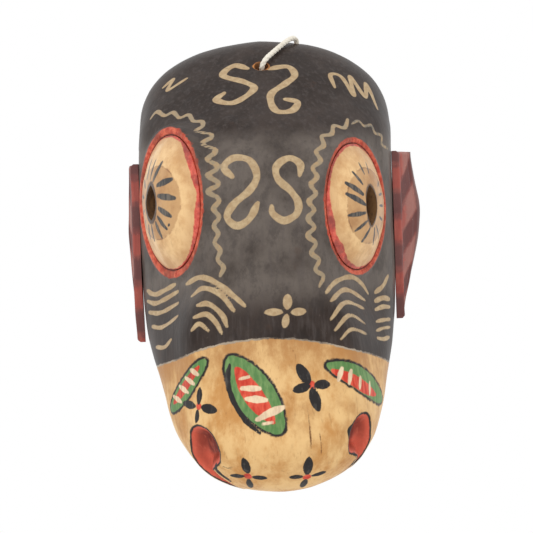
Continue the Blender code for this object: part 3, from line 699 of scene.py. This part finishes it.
def make_cotton():
    g = Graph("cotton", 0.9, bump=0.6, Sheen_Weight=0.3)
    fibre = g.noise(0.0004, stretch=(1, 1, 2), detail=4)
    dirt = g.noise(0.008, detail=4)
    colour = g.mix(g.ramp(fibre, 0.35, 0.7), rgb(222, 214, 198), rgb(244, 238, 224))
    colour = g.veil(g.ramp(dirt, 0.5, 0.7), 0.4, colour, rgb(190, 172, 142))
    return g.finish(colour, None, fibre, 0.0002)


def make_iron():
    g = Graph("iron", 0.55, bump=0.4, Metallic=0.85)
    rust = g.noise(0.0012, detail=5)
    colour = g.mix(g.ramp(rust, 0.42, 0.62), rgb(96, 92, 88), rgb(110, 64, 38))
    return g.finish(colour, g.math("ADD", g.math("MULTIPLY", rust, 0.4), 0.35), rust, 0.0002)


def make_floor():
    g = Graph("floor", 0.8, bump=0.05)
    return g.finish(g.mix(g.noise(0.3), rgb(236, 235, 233), rgb(242, 241, 239)))


paint, eye_paint, ear_paint = make_paint(), make_eye_paint(), make_ear_paint()
cotton, iron = make_cotton(), make_iron()
hollow_wood = make_bare_wood("hollow_wood", rgb(176, 126, 78), rgb(148, 98, 56), rgb(92, 58, 34))
pupil_wood = make_bare_wood("pupil_wood", rgb(118, 84, 48), rgb(92, 62, 34), rgb(48, 32, 20))


# ---- Making meshes ----


def make_object(name, vertices, faces, materials, sharp_angle=40, face_materials=None):
    """A closed mesh object with its faces turned outwards."""
    mesh = bpy.data.meshes.new(name)
    mesh.from_pydata(np.asarray(vertices, float).tolist(), [], faces)
    for mat in materials:
        mesh.materials.append(mat)
    if face_materials is not None:
        mesh.polygons.foreach_set("material_index", face_materials)
    bm = bmesh.new()
    bm.from_mesh(mesh)
    bmesh.ops.recalc_face_normals(bm, faces=bm.faces)
    if bm.calc_volume(signed=True) < 0:
        bmesh.ops.reverse_faces(bm, faces=bm.faces)
    bm.to_mesh(mesh)
    bm.free()
    mesh.shade_smooth()
    mesh.set_sharp_from_angle(angle=math.radians(sharp_angle))
    obj = bpy.data.objects.new(name, mesh)
    bpy.context.scene.collection.objects.link(obj)
    return obj


def prism(name, outline, low, high, place, mat):
    """A closed prism on an outline, to cut with."""
    count = len(outline)
    points = [place @ Vector((x, y, z)) for z in (low, high) for x, y in outline]
    faces = [tuple(range(count))[::-1], tuple(range(count, 2 * count))]
    faces += [(i, (i + 1) % count, count + (i + 1) % count, count + i) for i in range(count)]
    return make_object(name, points, faces, [mat])


def ellipse(half_x, half_y, count, middle=0.0):
    turns = [2 * math.pi * i / count for i in range(count)]
    return [(middle + half_x * math.cos(a), half_y * math.sin(a)) for a in turns]


def carve(obj, cutters):
    """Cuts the cutters out of a dense closed mesh, and removes them."""
    for cutter in cutters:
        modifier = obj.modifiers.new(cutter.name, "BOOLEAN")
        modifier.operation = "DIFFERENCE"
        modifier.solver = "MANIFOLD"
        modifier.material_mode = "TRANSFER"
        modifier.object = cutter
    bpy.context.view_layer.update()
    carved = bpy.data.meshes.new_from_object(obj.evaluated_get(bpy.context.evaluated_depsgraph_get()))
    obj.modifiers.clear()
    old, obj.data = obj.data, carved
    carved.name = obj.name
    bpy.data.meshes.remove(old)
    for cutter in cutters:
        bpy.data.objects.remove(cutter)


def vertices_mm(obj):
    co = np.zeros(len(obj.data.vertices) * 3, np.float32)
    obj.data.vertices.foreach_get("co", co)
    return co.reshape(-1, 3).astype(float) / MM


def set_attribute(obj, name, values):
    layer = obj.data.attributes.new(name, "FLOAT", "POINT")
    layer.data.foreach_set("value", np.ascontiguousarray(values, np.float32))


def strip(rows, closed=True):
    """Quads between neighbouring rows of vertex numbers."""
    faces = []
    for first, second in zip(rows[:-1], rows[1:], strict=True):
        count = len(first)
        for i in range(count if closed else count - 1):
            j = (i + 1) % count
            faces.append((first[i], first[j], second[j], second[i]))
    return faces


# ---- The head ----

ACROSS, DOWN, COARSE = 280, 312, 4
RING_WIDTH = {"left": (0.0037, 0.0045), "right": (0.0028, 0.0032)}
PAD_RISE, GROOVE_DEPTH, NOSTRIL_DEPTH = 0.0016, 0.0012, 0.0070


def grid_points(across, down, inner):
    """Surface points on a square grid, laid on the half-sphere of rays and evened out along both middles."""
    even = []
    for turn_low, turn_high, count in ((-math.pi / 2, math.pi / 2, across), (math.pi, 0.0, down)):
        t = np.linspace(-1, 1, 401)
        turn = np.where(t < 0, turn_low, turn_high)
        line = ray_points(turn, math.pi / 2 * (1 - np.abs(t)), inner)
        run = run_along(line)
        even.append(np.interp(np.linspace(0, run[-1], count + 1), run, t))
    u, v = np.meshgrid(even[0], even[1], indexing="ij")
    p, q = u * np.sqrt(1 - v * v / 2), v * np.sqrt(1 - u * u / 2)
    rise = math.pi / 2 * np.clip(1 - np.hypot(p, q), 0, 1)
    return ray_points(np.arctan2(p, q).ravel(), rise.ravel(), inner).reshape(across + 1, down + 1, 3)


def outward(points):
    """Unit normals of the carved form at these points."""
    step = 0.0004
    slopes = []
    for axis in range(3):
        ahead, behind = points.copy(), points.copy()
        ahead[:, axis] += step
        behind[:, axis] -= step
        slopes.append(outside(ahead[:, 0], -ahead[:, 1], RIM_TOP - ahead[:, 2])
                      - outside(behind[:, 0], -behind[:, 1], RIM_TOP - behind[:, 2]))
    normal = np.stack(slopes, axis=1)
    return normal / np.linalg.norm(normal, axis=1)[:, None]


def eye_reach(points, name):
    """Local places, and how far out they lie: 1 on the dome's edge, and 1 on the ring's outer edge."""
    side, offset, drop, half_width, half_height = EYES[name][:5]
    place = eye_frame(side, offset, drop)
    local = to_local(points, place)
    ring_x, ring_y = RING_WIDTH[name]
    dome = np.hypot(local[:, 0] / half_width, local[:, 1] / half_height)
    ring = np.hypot(local[:, 0] / (half_width + ring_x), local[:, 1] / (half_height + ring_y))
    beside = (points[:, 0] * side > 0.012) & (np.abs(local[:, 2]) < 0.016)
    return place, local, np.where(beside, dome, FAR), np.where(beside, ring, FAR)


def raise_pads(points):
    """Moves surface points on to the flat pads under the eyes, with a groove round each dome."""
    for name in EYES:
        place, local, dome, ring = eye_reach(points, name)
        flat = 1 - smooth_step((ring - 0.99) / 0.08)
        groove = GROOVE_DEPTH * np.exp(-(((dome - 1.0) * 36) ** 2))
        lift = (PAD_RISE - local[:, 2]) * flat - groove
        points = points + np.array(place.to_3x3())[:, 2] * lift[:, None]
    return points


def shape_outer(points):
    """The outer surface with its eye pads, grooves, nostrils and tool marks."""
    normal = outward(points)
    depth = -points[:, 1]
    points = points + normal * (0.00028 * (chips(points, (1, 1, 1.9), 0.013, 3) - 0.4))[:, None]
    points += normal * (0.00035 * waves(points, 0.045, 5))[:, None]
    points = raise_pads(points)
    for stations in NOSTRILS:
        distance = nostril_distance(points / MM, stations)
        lip = 0.0005 * np.exp(-(((distance - 1.2) / 1.6) ** 2))
        hollow = NOSTRIL_DEPTH * smooth_step(-distance / 7.5) ** 0.8 - lip
        points = points - normal * hollow[:, None]
    rounding = 0.0012 * np.exp(-np.clip(depth, 0, None) / 0.0011)
    points[:, 0] -= normal[:, 0] * rounding
    points[:, 2] -= normal[:, 2] * rounding
    points[depth < 1e-6, 1] = 0
    return points


def shape_inner(points):
    """The hollow, with the long scoops that a gouge leaves."""
    normal = outward(points)
    depth = -points[:, 1]
    scoops = 0.0011 * (1 - chips(points, (1, 1, 2.1), 0.014, 11)) * smooth_step(depth / 0.006)
    for name in EYES:  # none behind the eyes, where the wall is thin
        scoops *= smooth_step((eye_reach(points, name)[3] - 1.1) / 0.3)
    points = points + normal * scoops[:, None]
    points[depth < 1e-6, 1] = 0
    return points


def border(across, down):
    """Grid places round the edge, in order."""
    way = [(i, 0) for i in range(across)] + [(across, j) for j in range(down)]
    way += [(i, down) for i in range(across, 0, -1)] + [(0, j) for j in range(down, 0, -1)]
    return [i * (down + 1) + j for i, j in way]


def grid_faces(across, down, start):
    rows = [[start + i * (down + 1) + j for j in range(down + 1)] for i in range(across + 1)]
    return strip(rows, closed=False)


def make_head():
    outer = shape_outer(grid_points(ACROSS, DOWN, False).reshape(-1, 3))
    inner = shape_inner(grid_points(ACROSS // COARSE, DOWN // COARSE, True).reshape(-1, 3))
    outer_faces = grid_faces(ACROSS, DOWN, 0)
    inner_faces = grid_faces(ACROSS // COARSE, DOWN // COARSE, len(outer))
    outer_border = border(ACROSS, DOWN)
    inner_border = [len(outer) + i for i in border(ACROSS // COARSE, DOWN // COARSE)]
    rim = []
    for k, first in enumerate(inner_border):
        beside = [outer_border[(COARSE * k + step) % len(outer_border)] for step in range(COARSE + 1)]
        rim.append((*beside, inner_border[(k + 1) % len(inner_border)], first))
    faces = outer_faces + inner_faces + rim
    kinds = [0] * len(outer_faces) + [1] * (len(faces) - len(outer_faces))
    head = make_object("mask_head", np.vstack([outer, inner]), faces, [paint, hollow_wood], HEAD_SHARP, kinds)
    cutters = []
    for name, (side, offset, drop, half_width, half_height, pupil_place, _) in EYES.items():
        place = eye_frame(side, offset, drop)
        seat = ellipse(half_width, half_height, 72)
        cutters.append(prism(f"seat_{name}", seat, -SEAT_DEPTH, 0.030, place, hollow_wood))
        way = ellipse(*SEAT_OPENING, 40, pupil_place)
        cutters.append(prism(f"way_{name}", way, -0.030, 0.010, place, hollow_wood))
    x, drop, radius = CORD_HOLE
    drill = ellipse(radius, radius, 32)
    cutters.append(prism("hole", drill, -0.030, 0.020, face_frame(x, drop), hollow_wood))
    floor = NOTCH_HALF_WIDTH - NOTCH_DEPTH
    arc = [math.pi * i / 12 for i in range(13)]
    notch = [(NOTCH_HALF_WIDTH * math.cos(a), floor - NOTCH_HALF_WIDTH * math.sin(a)) for a in arc]
    notch += [(-NOTCH_HALF_WIDTH, 0.010), (NOTCH_HALF_WIDTH, 0.010)]
    at_notch = Matrix.Translation((CORD_NOTCH_X, 0, 0))
    cutters.append(prism("notch", notch, -0.025, 0.020, at_notch, hollow_wood))
    carve(head, cutters)
    return head


def paint_head(head):
    """Distances, in millimetres, that the paint's shader reads."""
    v = vertices_mm(head)
    x, depth, drop = v[:, 0], -v[:, 1], RIM_TOP / MM - v[:, 2]
    tan = least(v, TAN_STROKES, brush)
    tan = np.minimum(tan, least(v, TAN_PETALS, petal))
    zigzags = stroke_distance(v, 1.3, zigzag(ZIGZAG_LEFT, 1.35, 4.6), brush)
    zigzags = np.minimum(zigzags, stroke_distance(v, 1.3, zigzag(ZIGZAG_RIGHT, 1.8, 4.6), brush))
    tan = np.minimum(tan, zigzags)
    faded = stroke_distance(v, 0.9, zigzag(ZIGZAG_FADED, 1.3, 3.8), brush)
    set_attribute(head, "tan", np.minimum(tan, faded))
    set_attribute(head, "fade", np.where(faded < 1.0, 1.0, np.where(zigzags < 1.0, 0.6, 0.15)))
    edge_x, edge_drop = np.array(smooth_line(MUZZLE_EDGE, 12)).T
    edge = (np.interp(x, edge_x, edge_drop) - drop) * 0.92
    set_attribute(head, "edge", np.clip(edge, -60, 9))
    green = least(v, LEAVES, leaf)
    set_attribute(head, "green", green)
    set_attribute(head, "outline", np.abs(green - 0.3) - 1.15)
    set_attribute(head, "black", np.minimum(least(v, BLACK_PETALS, petal), least(v, BLACK_LINES, brush)))
    dots = [(radius, [(px - 0.1, pd), (px + 0.1, pd)]) for radius, (px, pd) in RED_DOTS]
    set_attribute(head, "red", np.minimum(least(v, LENSES, leaf), least(v, dots, even)))
    set_attribute(head, "bar", least(v, BARS, brush))
    set_attribute(head, "nostril", np.minimum.reduce([nostril_distance(v, n) for n in NOSTRILS]))
    ring, groove = np.full(len(v), FAR), np.full(len(v), FAR)
    for name in EYES:
        _, _, dome, ring_edge = eye_reach(v * MM, name)
        ring = np.minimum(ring, np.clip((ring_edge - 1) * 40, -20, 9))
        # This distance carries a dark line of painted shade along the groove round each dome
        groove = np.minimum(groove, np.clip(np.abs(dome - 1.0) * 36 - 0.5, -5, 9))
    set_attribute(head, "ring", ring)
    set_attribute(head, "groove", groove)
    cracks = [(0.5, [(16, 212), (16.7, 226), (16, 240)]), (0.45, [(21, 224), (22.5, 230), (22, 237)]),
              (0.3, [(7.5, 179), (10, 183), (11, 188)]), (0.25, [(12, 205), (13, 213)]),
              (0.3, [(25, 226), (25.5, 233)])]
    set_attribute(head, "crack", least(v, cracks, petal))
    hole_x, hole_drop, hole_radius = CORD_HOLE
    middle = on_face([(hole_x / MM, hole_drop / MM)])[0] / MM
    set_attribute(head, "hole", np.linalg.norm((v - middle) / (1.15, 1, 1), axis=1) - hole_radius / MM - 0.2)
    set_attribute(head, "worn", np.clip(depth, 0, 20) - 0.8)
    # A painted highlight: a greyer band across the face from the brow down past the eyes, where the front
    # faces the light
    set_attribute(head, "painted_highlight_band", smooth_step((drop - 56) / 14) * smooth_step((164 - drop) / 20))
    head.data.set_sharp_from_angle(angle=math.radians(HEAD_SHARP))


head = make_head()
paint_head(head)
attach(head, "root")
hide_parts("head_shell")


# ---- Eyes ----

LASHES = {  # (half width, points) in each eye's own width and height, in millimetres
    "left": [
        (0.9, [(-10.8, 24.7), (-12, 14)]), (1.2, [(4.5, 22.5), (-1.5, 12)]),
        (1.6, [(15.2, 12.2), (3.6, 9.5)]),
        (1.6, [(17.7, 1.7), (5, 3.5)]), (1.5, [(14.6, -8.1), (4.8, -3.4)]), (1.2, [(9.5, -15), (3, -8)]),
        (1.1, [(3.4, -19.5), (0.4, -11)]), (0.9, [(-6, -21), (-5, -12.5)]),
        (0.8, [(-13, -20), (-9.4, -12.2)]),
        (0.8, [(-19, -15), (-14, -9.5)]), (0.9, [(-20, 14), (-14, 9)]), (0.8, [(-3.5, 24), (-5.5, 13.5)]),
        (0.8, [(-22, 5), (-15, 3.5)]), (0.8, [(-22, -6), (-15, -3.5)]), (0.6, [(11.2, -13.5), (12.6, -12.5)]),
    ],
    "right": [
        (0.6, [(-4.7, 23.8), (-2.7, 17.6)]), (0.5, [(3.1, 24.6), (1.9, 18.2)]),
        (0.9, [(-12.2, 18.5), (-6.7, 11.8)]),
        (1.4, [(-18.1, 12.3), (-8, 6.2)]), (1.4, [(-19.2, 6.2), (-6.9, 0.4)]),
        (1.1, [(-18.5, -5.6), (-7, -4.3)]),
        (0.9, [(-12.8, -14.2), (-4.9, -8.8)]), (0.9, [(-6.3, -20.1), (-1.3, -12.6)]),
        (0.7, [(6.5, -21.8), (3.8, -12.6)]),
        (0.6, [(14.9, -18.4), (5.2, -11)]), (0.7, [(10, 11), (15, 14)]), (0.7, [(9.6, 6), (16, 7)]),
        (0.7, [(10, 0), (16, 0)]), (0.7, [(10, -6.4), (15, -8)]),
    ],
}
# How far the red laps on to the dome: (turn in degrees from the dome's width, millimetres)
LAPS = {
    "left": [(-180, 1.0), (-120, 0.6), (-60, 0.8), (-25, 2.6), (-10, 3.4), (5, 1.6), (20, 3.2), (42, 3.6),
             (60, 1.4), (120, 0.8), (180, 1.0)],
    "right": [(-180, 2.6), (-165, 4.2), (-150, 3.0), (-135, 4.8), (-115, 2.4), (-80, 1.2), (-30, 1.0),
              (0, 1.4), (60, 1.8), (95, 1.6), (140, 1.2), (165, 1.4), (180, 2.6)],
}
IRISES = {"left": (-0.5, 0, 22, 20.5), "right": (0, 0, 19.5, 21)}  # middle, half width, half height
PUPIL_STAIN = {"left": 1.22, "right": 1.05}  # how far the brown reaches past the pupil's edge, as a share


def lens_outline(width, height, middle, steps=16):
    """Two arcs that meet in points at the top and the bottom."""
    bow = (height**2 - width**2) / (4 * width)
    radius = bow + width / 2
    reach = math.asin(height / 2 / radius)
    turns = [reach * (2 * i / steps - 1) for i in range(steps)]
    one_side = [(radius * math.cos(a) - bow, radius * math.sin(a)) for a in turns]
    return [(middle + x, y) for x, y in one_side] + [(middle - x, -y) for x, y in one_side]


def flat_distance(points, strokes):
    """Signed distance to strokes drawn flat in an eye's own frame."""
    best = np.full(len(points), FAR)
    for half_width, ends in strokes:
        a, b = np.array(ends[0], float), np.array(ends[1], float)
        t, gap = from_segment(points, a, b)
        best = np.minimum(best, gap - half_width * (0.7 + 0.5 * np.sin(math.pi * t)))
    return best


def make_eye(name):
    side, offset, drop, half_width, half_height, pupil_place, pupil_height = EYES[name]
    place = eye_frame(side, offset, drop)
    sectors, rings = 180, 64
    turn = 2 * math.pi * np.arange(sectors) / sectors
    # Knife facets: a few flats round the dome, uneven in width
    flats = np.array([0.2, 0.9, 1.5, 2.3, 3.1, 3.7, 4.5, 5.2, 5.9]) + 0.3 * side
    layout = []
    for k in range(rings):
        reach = 1 - (k / rings) ** 1.15
        facet = np.max(np.cos(turn[:, None] - flats), axis=1) / math.cos(0.36)
        rounded = reach * (1 + 0.34 * (facet - 1) * math.sin(math.pi * min(1, reach)))
        height = DOME_EDGE + (DOME_RISE - DOME_EDGE) * (1 - np.clip(rounded, 0, 1.05) ** 2.3)
        ring = [half_width * reach * np.cos(turn), half_height * reach * np.sin(turn), height]
        layout.append(np.stack(ring, axis=1))
    layout[0][:, 2] = DOME_EDGE * 0.4
    inset = 0.994
    foot = layout[0] * (inset, inset, 1)
    foot[:, 2] = 0.0003 - SEAT_DEPTH
    layout = [foot, layout[0] * (inset, inset, 1), *layout[1:]]
    points = np.vstack([*layout, [[0, 0, DOME_RISE]]])
    dome_height = points[:, 2] > DOME_EDGE
    bumps = 0.00022 * (chips(points, (1, 1, 1), 0.009, 21 + side) - 0.4)
    bumps += 0.0003 * waves(points, 0.022, 9 + side)
    points[:, 2] += np.where(dome_height, bumps, 0)
    rows = [list(range(k * sectors, (k + 1) * sectors)) for k in range(len(layout))]
    faces = strip(rows) + [tuple(rows[0])]
    tip = len(points) - 1
    faces += [(rows[-1][i], rows[-1][(i + 1) % sectors], tip) for i in range(sectors)]
    matrix = np.array(place)
    world = points @ matrix[:3, :3].T + matrix[:3, 3]
    eye = make_object(f"mask_eye_{name}", world, faces, [eye_paint, pupil_wood], EYE_SHARP)
    pupil = lens_outline(PUPIL_WIDTH, pupil_height, pupil_place)
    carve(eye, [prism("pupil", pupil, -0.020, 0.030, place, pupil_wood)])
    local = to_local(vertices_mm(eye) * MM, place) / MM
    flat = local[:, :2]
    set_attribute(eye, "lash", flat_distance(flat, LASHES[name]))
    middle_x, middle_y, iris_x, iris_y = IRISES[name]
    from_iris = np.hypot((flat[:, 0] - middle_x) / iris_x, (flat[:, 1] - middle_y) / iris_y)
    set_attribute(eye, "iris", (from_iris - 1) * 22)
    from_pupil = flat[:, 0] - pupil_place / MM
    beside = np.hypot(from_pupil / (PUPIL_WIDTH / MM / 2), flat[:, 1] / (pupil_height / MM / 2))
    set_attribute(eye, "pupil", (beside - PUPIL_STAIN[name]) * 5)
    reach = np.hypot(flat[:, 0] / half_width, flat[:, 1] / half_height) * MM
    degrees = np.degrees(np.arctan2(flat[:, 1] / half_height, flat[:, 0] / half_width))
    lap = (1 - reach) * 35 - np.interp(degrees, *zip(*LAPS[name], strict=True))
    set_attribute(eye, "lap", np.where(local[:, 2] < 0, 9.0, lap))
    eye.data.set_sharp_from_angle(angle=math.radians(EYE_SHARP))
    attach(eye, "root")
    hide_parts(f"eye_{name}")


for eye_name in EYES:
    make_eye(eye_name)


# ---- Ears ----


def ear_line(side, top, tip, stand, along, across):
    """Places on the ear's inner face, for one share of its length and many of its width."""
    front = smooth_through(*zip(*EAR_FRONT, strict=True), along)
    rear = smooth_through(*zip(*EAR_REAR, strict=True), along)
    depth = front + (rear - front) * across
    lift = np.clip((across - EAR_ROOT_SHARE) / (1 - EAR_ROOT_SHARE), 0, None)
    flare = stand * smooth_through(*zip(*EAR_STAND, strict=True), along)
    x = SIDE_WALL - EAR_OVERLAP + flare * lift**1.25
    drop = top + (tip - top) * along
    return np.stack([side * x - lean(depth, drop), -depth, np.full_like(x, RIM_TOP - drop)], axis=1)


def make_ear(name):
    side, top, tip, stand = EARS[name]
    rows, spans = 150, 36
    across = np.linspace(0, 1, spans + 1)
    layers, marks = [], []
    for row in range(rows + 1):
        along = row / rows
        inner = ear_line(side, top, tip, stand, along, across)
        ahead = np.gradient(inner, axis=0)
        out = np.stack([side * np.abs(ahead[:, 1]), -np.abs(ahead[:, 0]), np.zeros(spans + 1)], axis=1)
        out /= np.linalg.norm(out, axis=1)[:, None]
        thick = EAR_THICK + (EAR_EDGE_THICK - EAR_THICK) * across
        end = min(along, 1 - along) * (tip - top) / MM
        from_edge = np.minimum(np.minimum(across, 1 - across) * EAR_WIDE, end)
        thick *= 0.60 + 0.40 * np.sqrt(smooth_step(from_edge / 2.0))
        # A shallow hollow down the middle and a carved line inside the free edge
        hollow = 0.0009 * np.sin(math.pi * np.clip((across - 0.3) / 0.6, 0, 1)) * math.sin(math.pi * along)
        groove = 0.0006 * np.exp(-(((1 - across) * EAR_WIDE - 2.6) / 0.5) ** 2)
        bumps = 0.0003 * waves(inner, 0.016, 31)
        outer = inner + out * (thick - hollow - groove + bumps)[:, None]
        layers.append(np.vstack([inner, outer[::-1]]))
        length = along * (tip - top) / MM
        fan_out = np.clip((across - 0.4) / 0.6, 0, 1)
        for line_across, line_fan in ((across, fan_out), (across[::-1], fan_out[::-1])):
            phase = (length + BAND_FAN * line_fan - BAND_PITCH) / BAND_PITCH
            band = (np.abs(phase - np.round(phase)) - 0.20) * BAND_PITCH
            between = (np.abs(phase - np.floor(phase) - 0.52) - 0.20) * BAND_PITCH
            orange = np.maximum(between, (line_across - 0.66) * 22)
            # The pale streaks between the bands are a painted highlight on the ridges
            pale = np.maximum(between - 1.5, (0.60 - line_across) * 22)
            marks.append(np.stack([band, orange, pale, (1 - line_across) * EAR_WIDE - 1.8], axis=1))
    points = np.vstack(layers)
    count = 2 * (spans + 1)
    loops = [list(range(k * count, (k + 1) * count)) for k in range(rows + 1)]
    faces = strip(loops) + [tuple(loops[0]), tuple(loops[-1])]
    ear = make_object(f"mask_ear_{name}", points, faces, [ear_paint], 42)
    for mark, values in zip(("band", "orange", "pale", "rim"), np.vstack(marks).T, strict=True):
        set_attribute(ear, mark, values)
    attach(ear, "root")
    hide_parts(f"ear_{name}")


for ear_name in EARS:
    make_ear(ear_name)


# ---- Nails ----

for side_name in EARS:
    for end_name in ("upper", "lower"):
        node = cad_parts[f"ear_{side_name}_nail_{end_name}"]
        node.data.materials.clear()
        node.data.materials.append(iron)


# ---- Cord ----


def even_points(route, spacing):
    line = smooth_line(route, 20)
    run = run_along(line)
    at = np.linspace(0, run[-1], round(run[-1] / spacing) + 1)
    return np.stack([np.interp(at, run, line[:, k]) for k in range(3)], axis=1), run[-1]


def rope(points, radius, pitch, sides=24, strands=3):
    """Vertices and faces of a laid cord: a tube with a lobe for each strand, turning as it goes."""
    ahead = np.gradient(points, axis=0)
    ahead /= np.linalg.norm(ahead, axis=1)[:, None]
    across = np.cross(ahead[0], (0.3, 0.9, 0.2))
    run, loops, vertices = 0.0, [], []
    for k, (point, way) in enumerate(zip(points, ahead, strict=True)):
        across = across - way * (across @ way)
        across /= np.linalg.norm(across)
        square = np.cross(way, across)
        run += np.linalg.norm(point - points[max(k - 1, 0)])
        turn = 2 * math.pi * np.arange(sides) / sides
        lobe = np.abs(np.cos(strands / 2 * (turn - 2 * math.pi * run / pitch)))
        reach = radius * (0.80 + 0.24 * lobe**0.8)
        loop = np.outer(reach * np.cos(turn), across) + np.outer(reach * np.sin(turn), square)
        vertices.append(point + loop)
        loops.append(list(range(k * sides, (k + 1) * sides)))
    faces = strip(loops) + [tuple(loops[0]), tuple(loops[-1])]
    return np.vstack(vertices), faces


def make_cord():
    line, length = even_points(CORD_ROUTE, 0.0004)
    cord = make_object("mask_cord", *rope(line, CORD_RADIUS, 0.0085), [cotton], 180)
    turn = np.linspace(0, 2 * math.pi, 160)
    bend = [np.sin(turn) + 2 * np.sin(2 * turn), np.cos(turn) - 2 * np.cos(2 * turn), -1.5 * np.sin(3 * turn)]
    bend = np.stack(bend, axis=1)
    bodies = [rope(bend * 0.00105 + KNOT_PLACE, 0.00135, 0.007, sides=16)]
    knot = Vector(KNOT_PLACE)
    for way in (-1, 1):
        hang = ((0, 0, -0.002), (0.0015 * way, 0.0005, -0.0060), (0.0026 * way, 0.001, -0.0105))
        tail = [knot + Vector(p) for p in hang]
        bodies.append(rope(even_points([tuple(p) for p in tail], 0.0004)[0], 0.0013, 0.007, sides=16))
    vertices, faces = [], []
    for body_vertices, body_faces in bodies:
        start = sum(len(part) for part in vertices)
        faces += [tuple(start + i for i in face) for face in body_faces]
        vertices.append(body_vertices)
    knot_piece = make_object("mask_cord_knot", np.vstack(vertices), faces, [cotton], 180)
    for piece, node in ((cord, "hanging_cord"), (knot_piece, "cord_knot")):
        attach(piece, "root")
        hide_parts(node)


make_cord()


# ---- Floor and light ----


def make_stage():
    bpy.ops.mesh.primitive_circle_add(vertices=96, radius=0.80, fill_type="NGON", location=(0, 0, -0.46))
    floor = bpy.context.object
    floor.name = "floor"
    floor.data.materials.append(make_floor())


def add_area(name, place, size, power, colour=(1, 1, 1)):
    data = bpy.data.lights.new(name, "AREA")
    data.shape, data.size, data.energy, data.color = "DISK", size, power, colour
    lamp = bpy.data.objects.new(name, data)
    lamp.location = place
    lamp.rotation_euler = (Vector((0, -0.05, -0.12)) - Vector(place)).to_track_quat("-Z", "Y").to_euler()
    bpy.context.scene.collection.objects.link(lamp)


def light_scene():
    world = bpy.data.worlds.new("world")
    world.use_nodes = True
    world.node_tree.nodes["Background"].inputs["Color"].default_value = (1, 1, 1, 1)
    world.node_tree.nodes["Background"].inputs["Strength"].default_value = 1.0
    bpy.context.scene.world = world
    bpy.context.scene.view_settings.view_transform = "Standard"
    add_area("key", (-0.5, -1.2, 1.1), 0.9, 6)


make_stage()
light_scene()
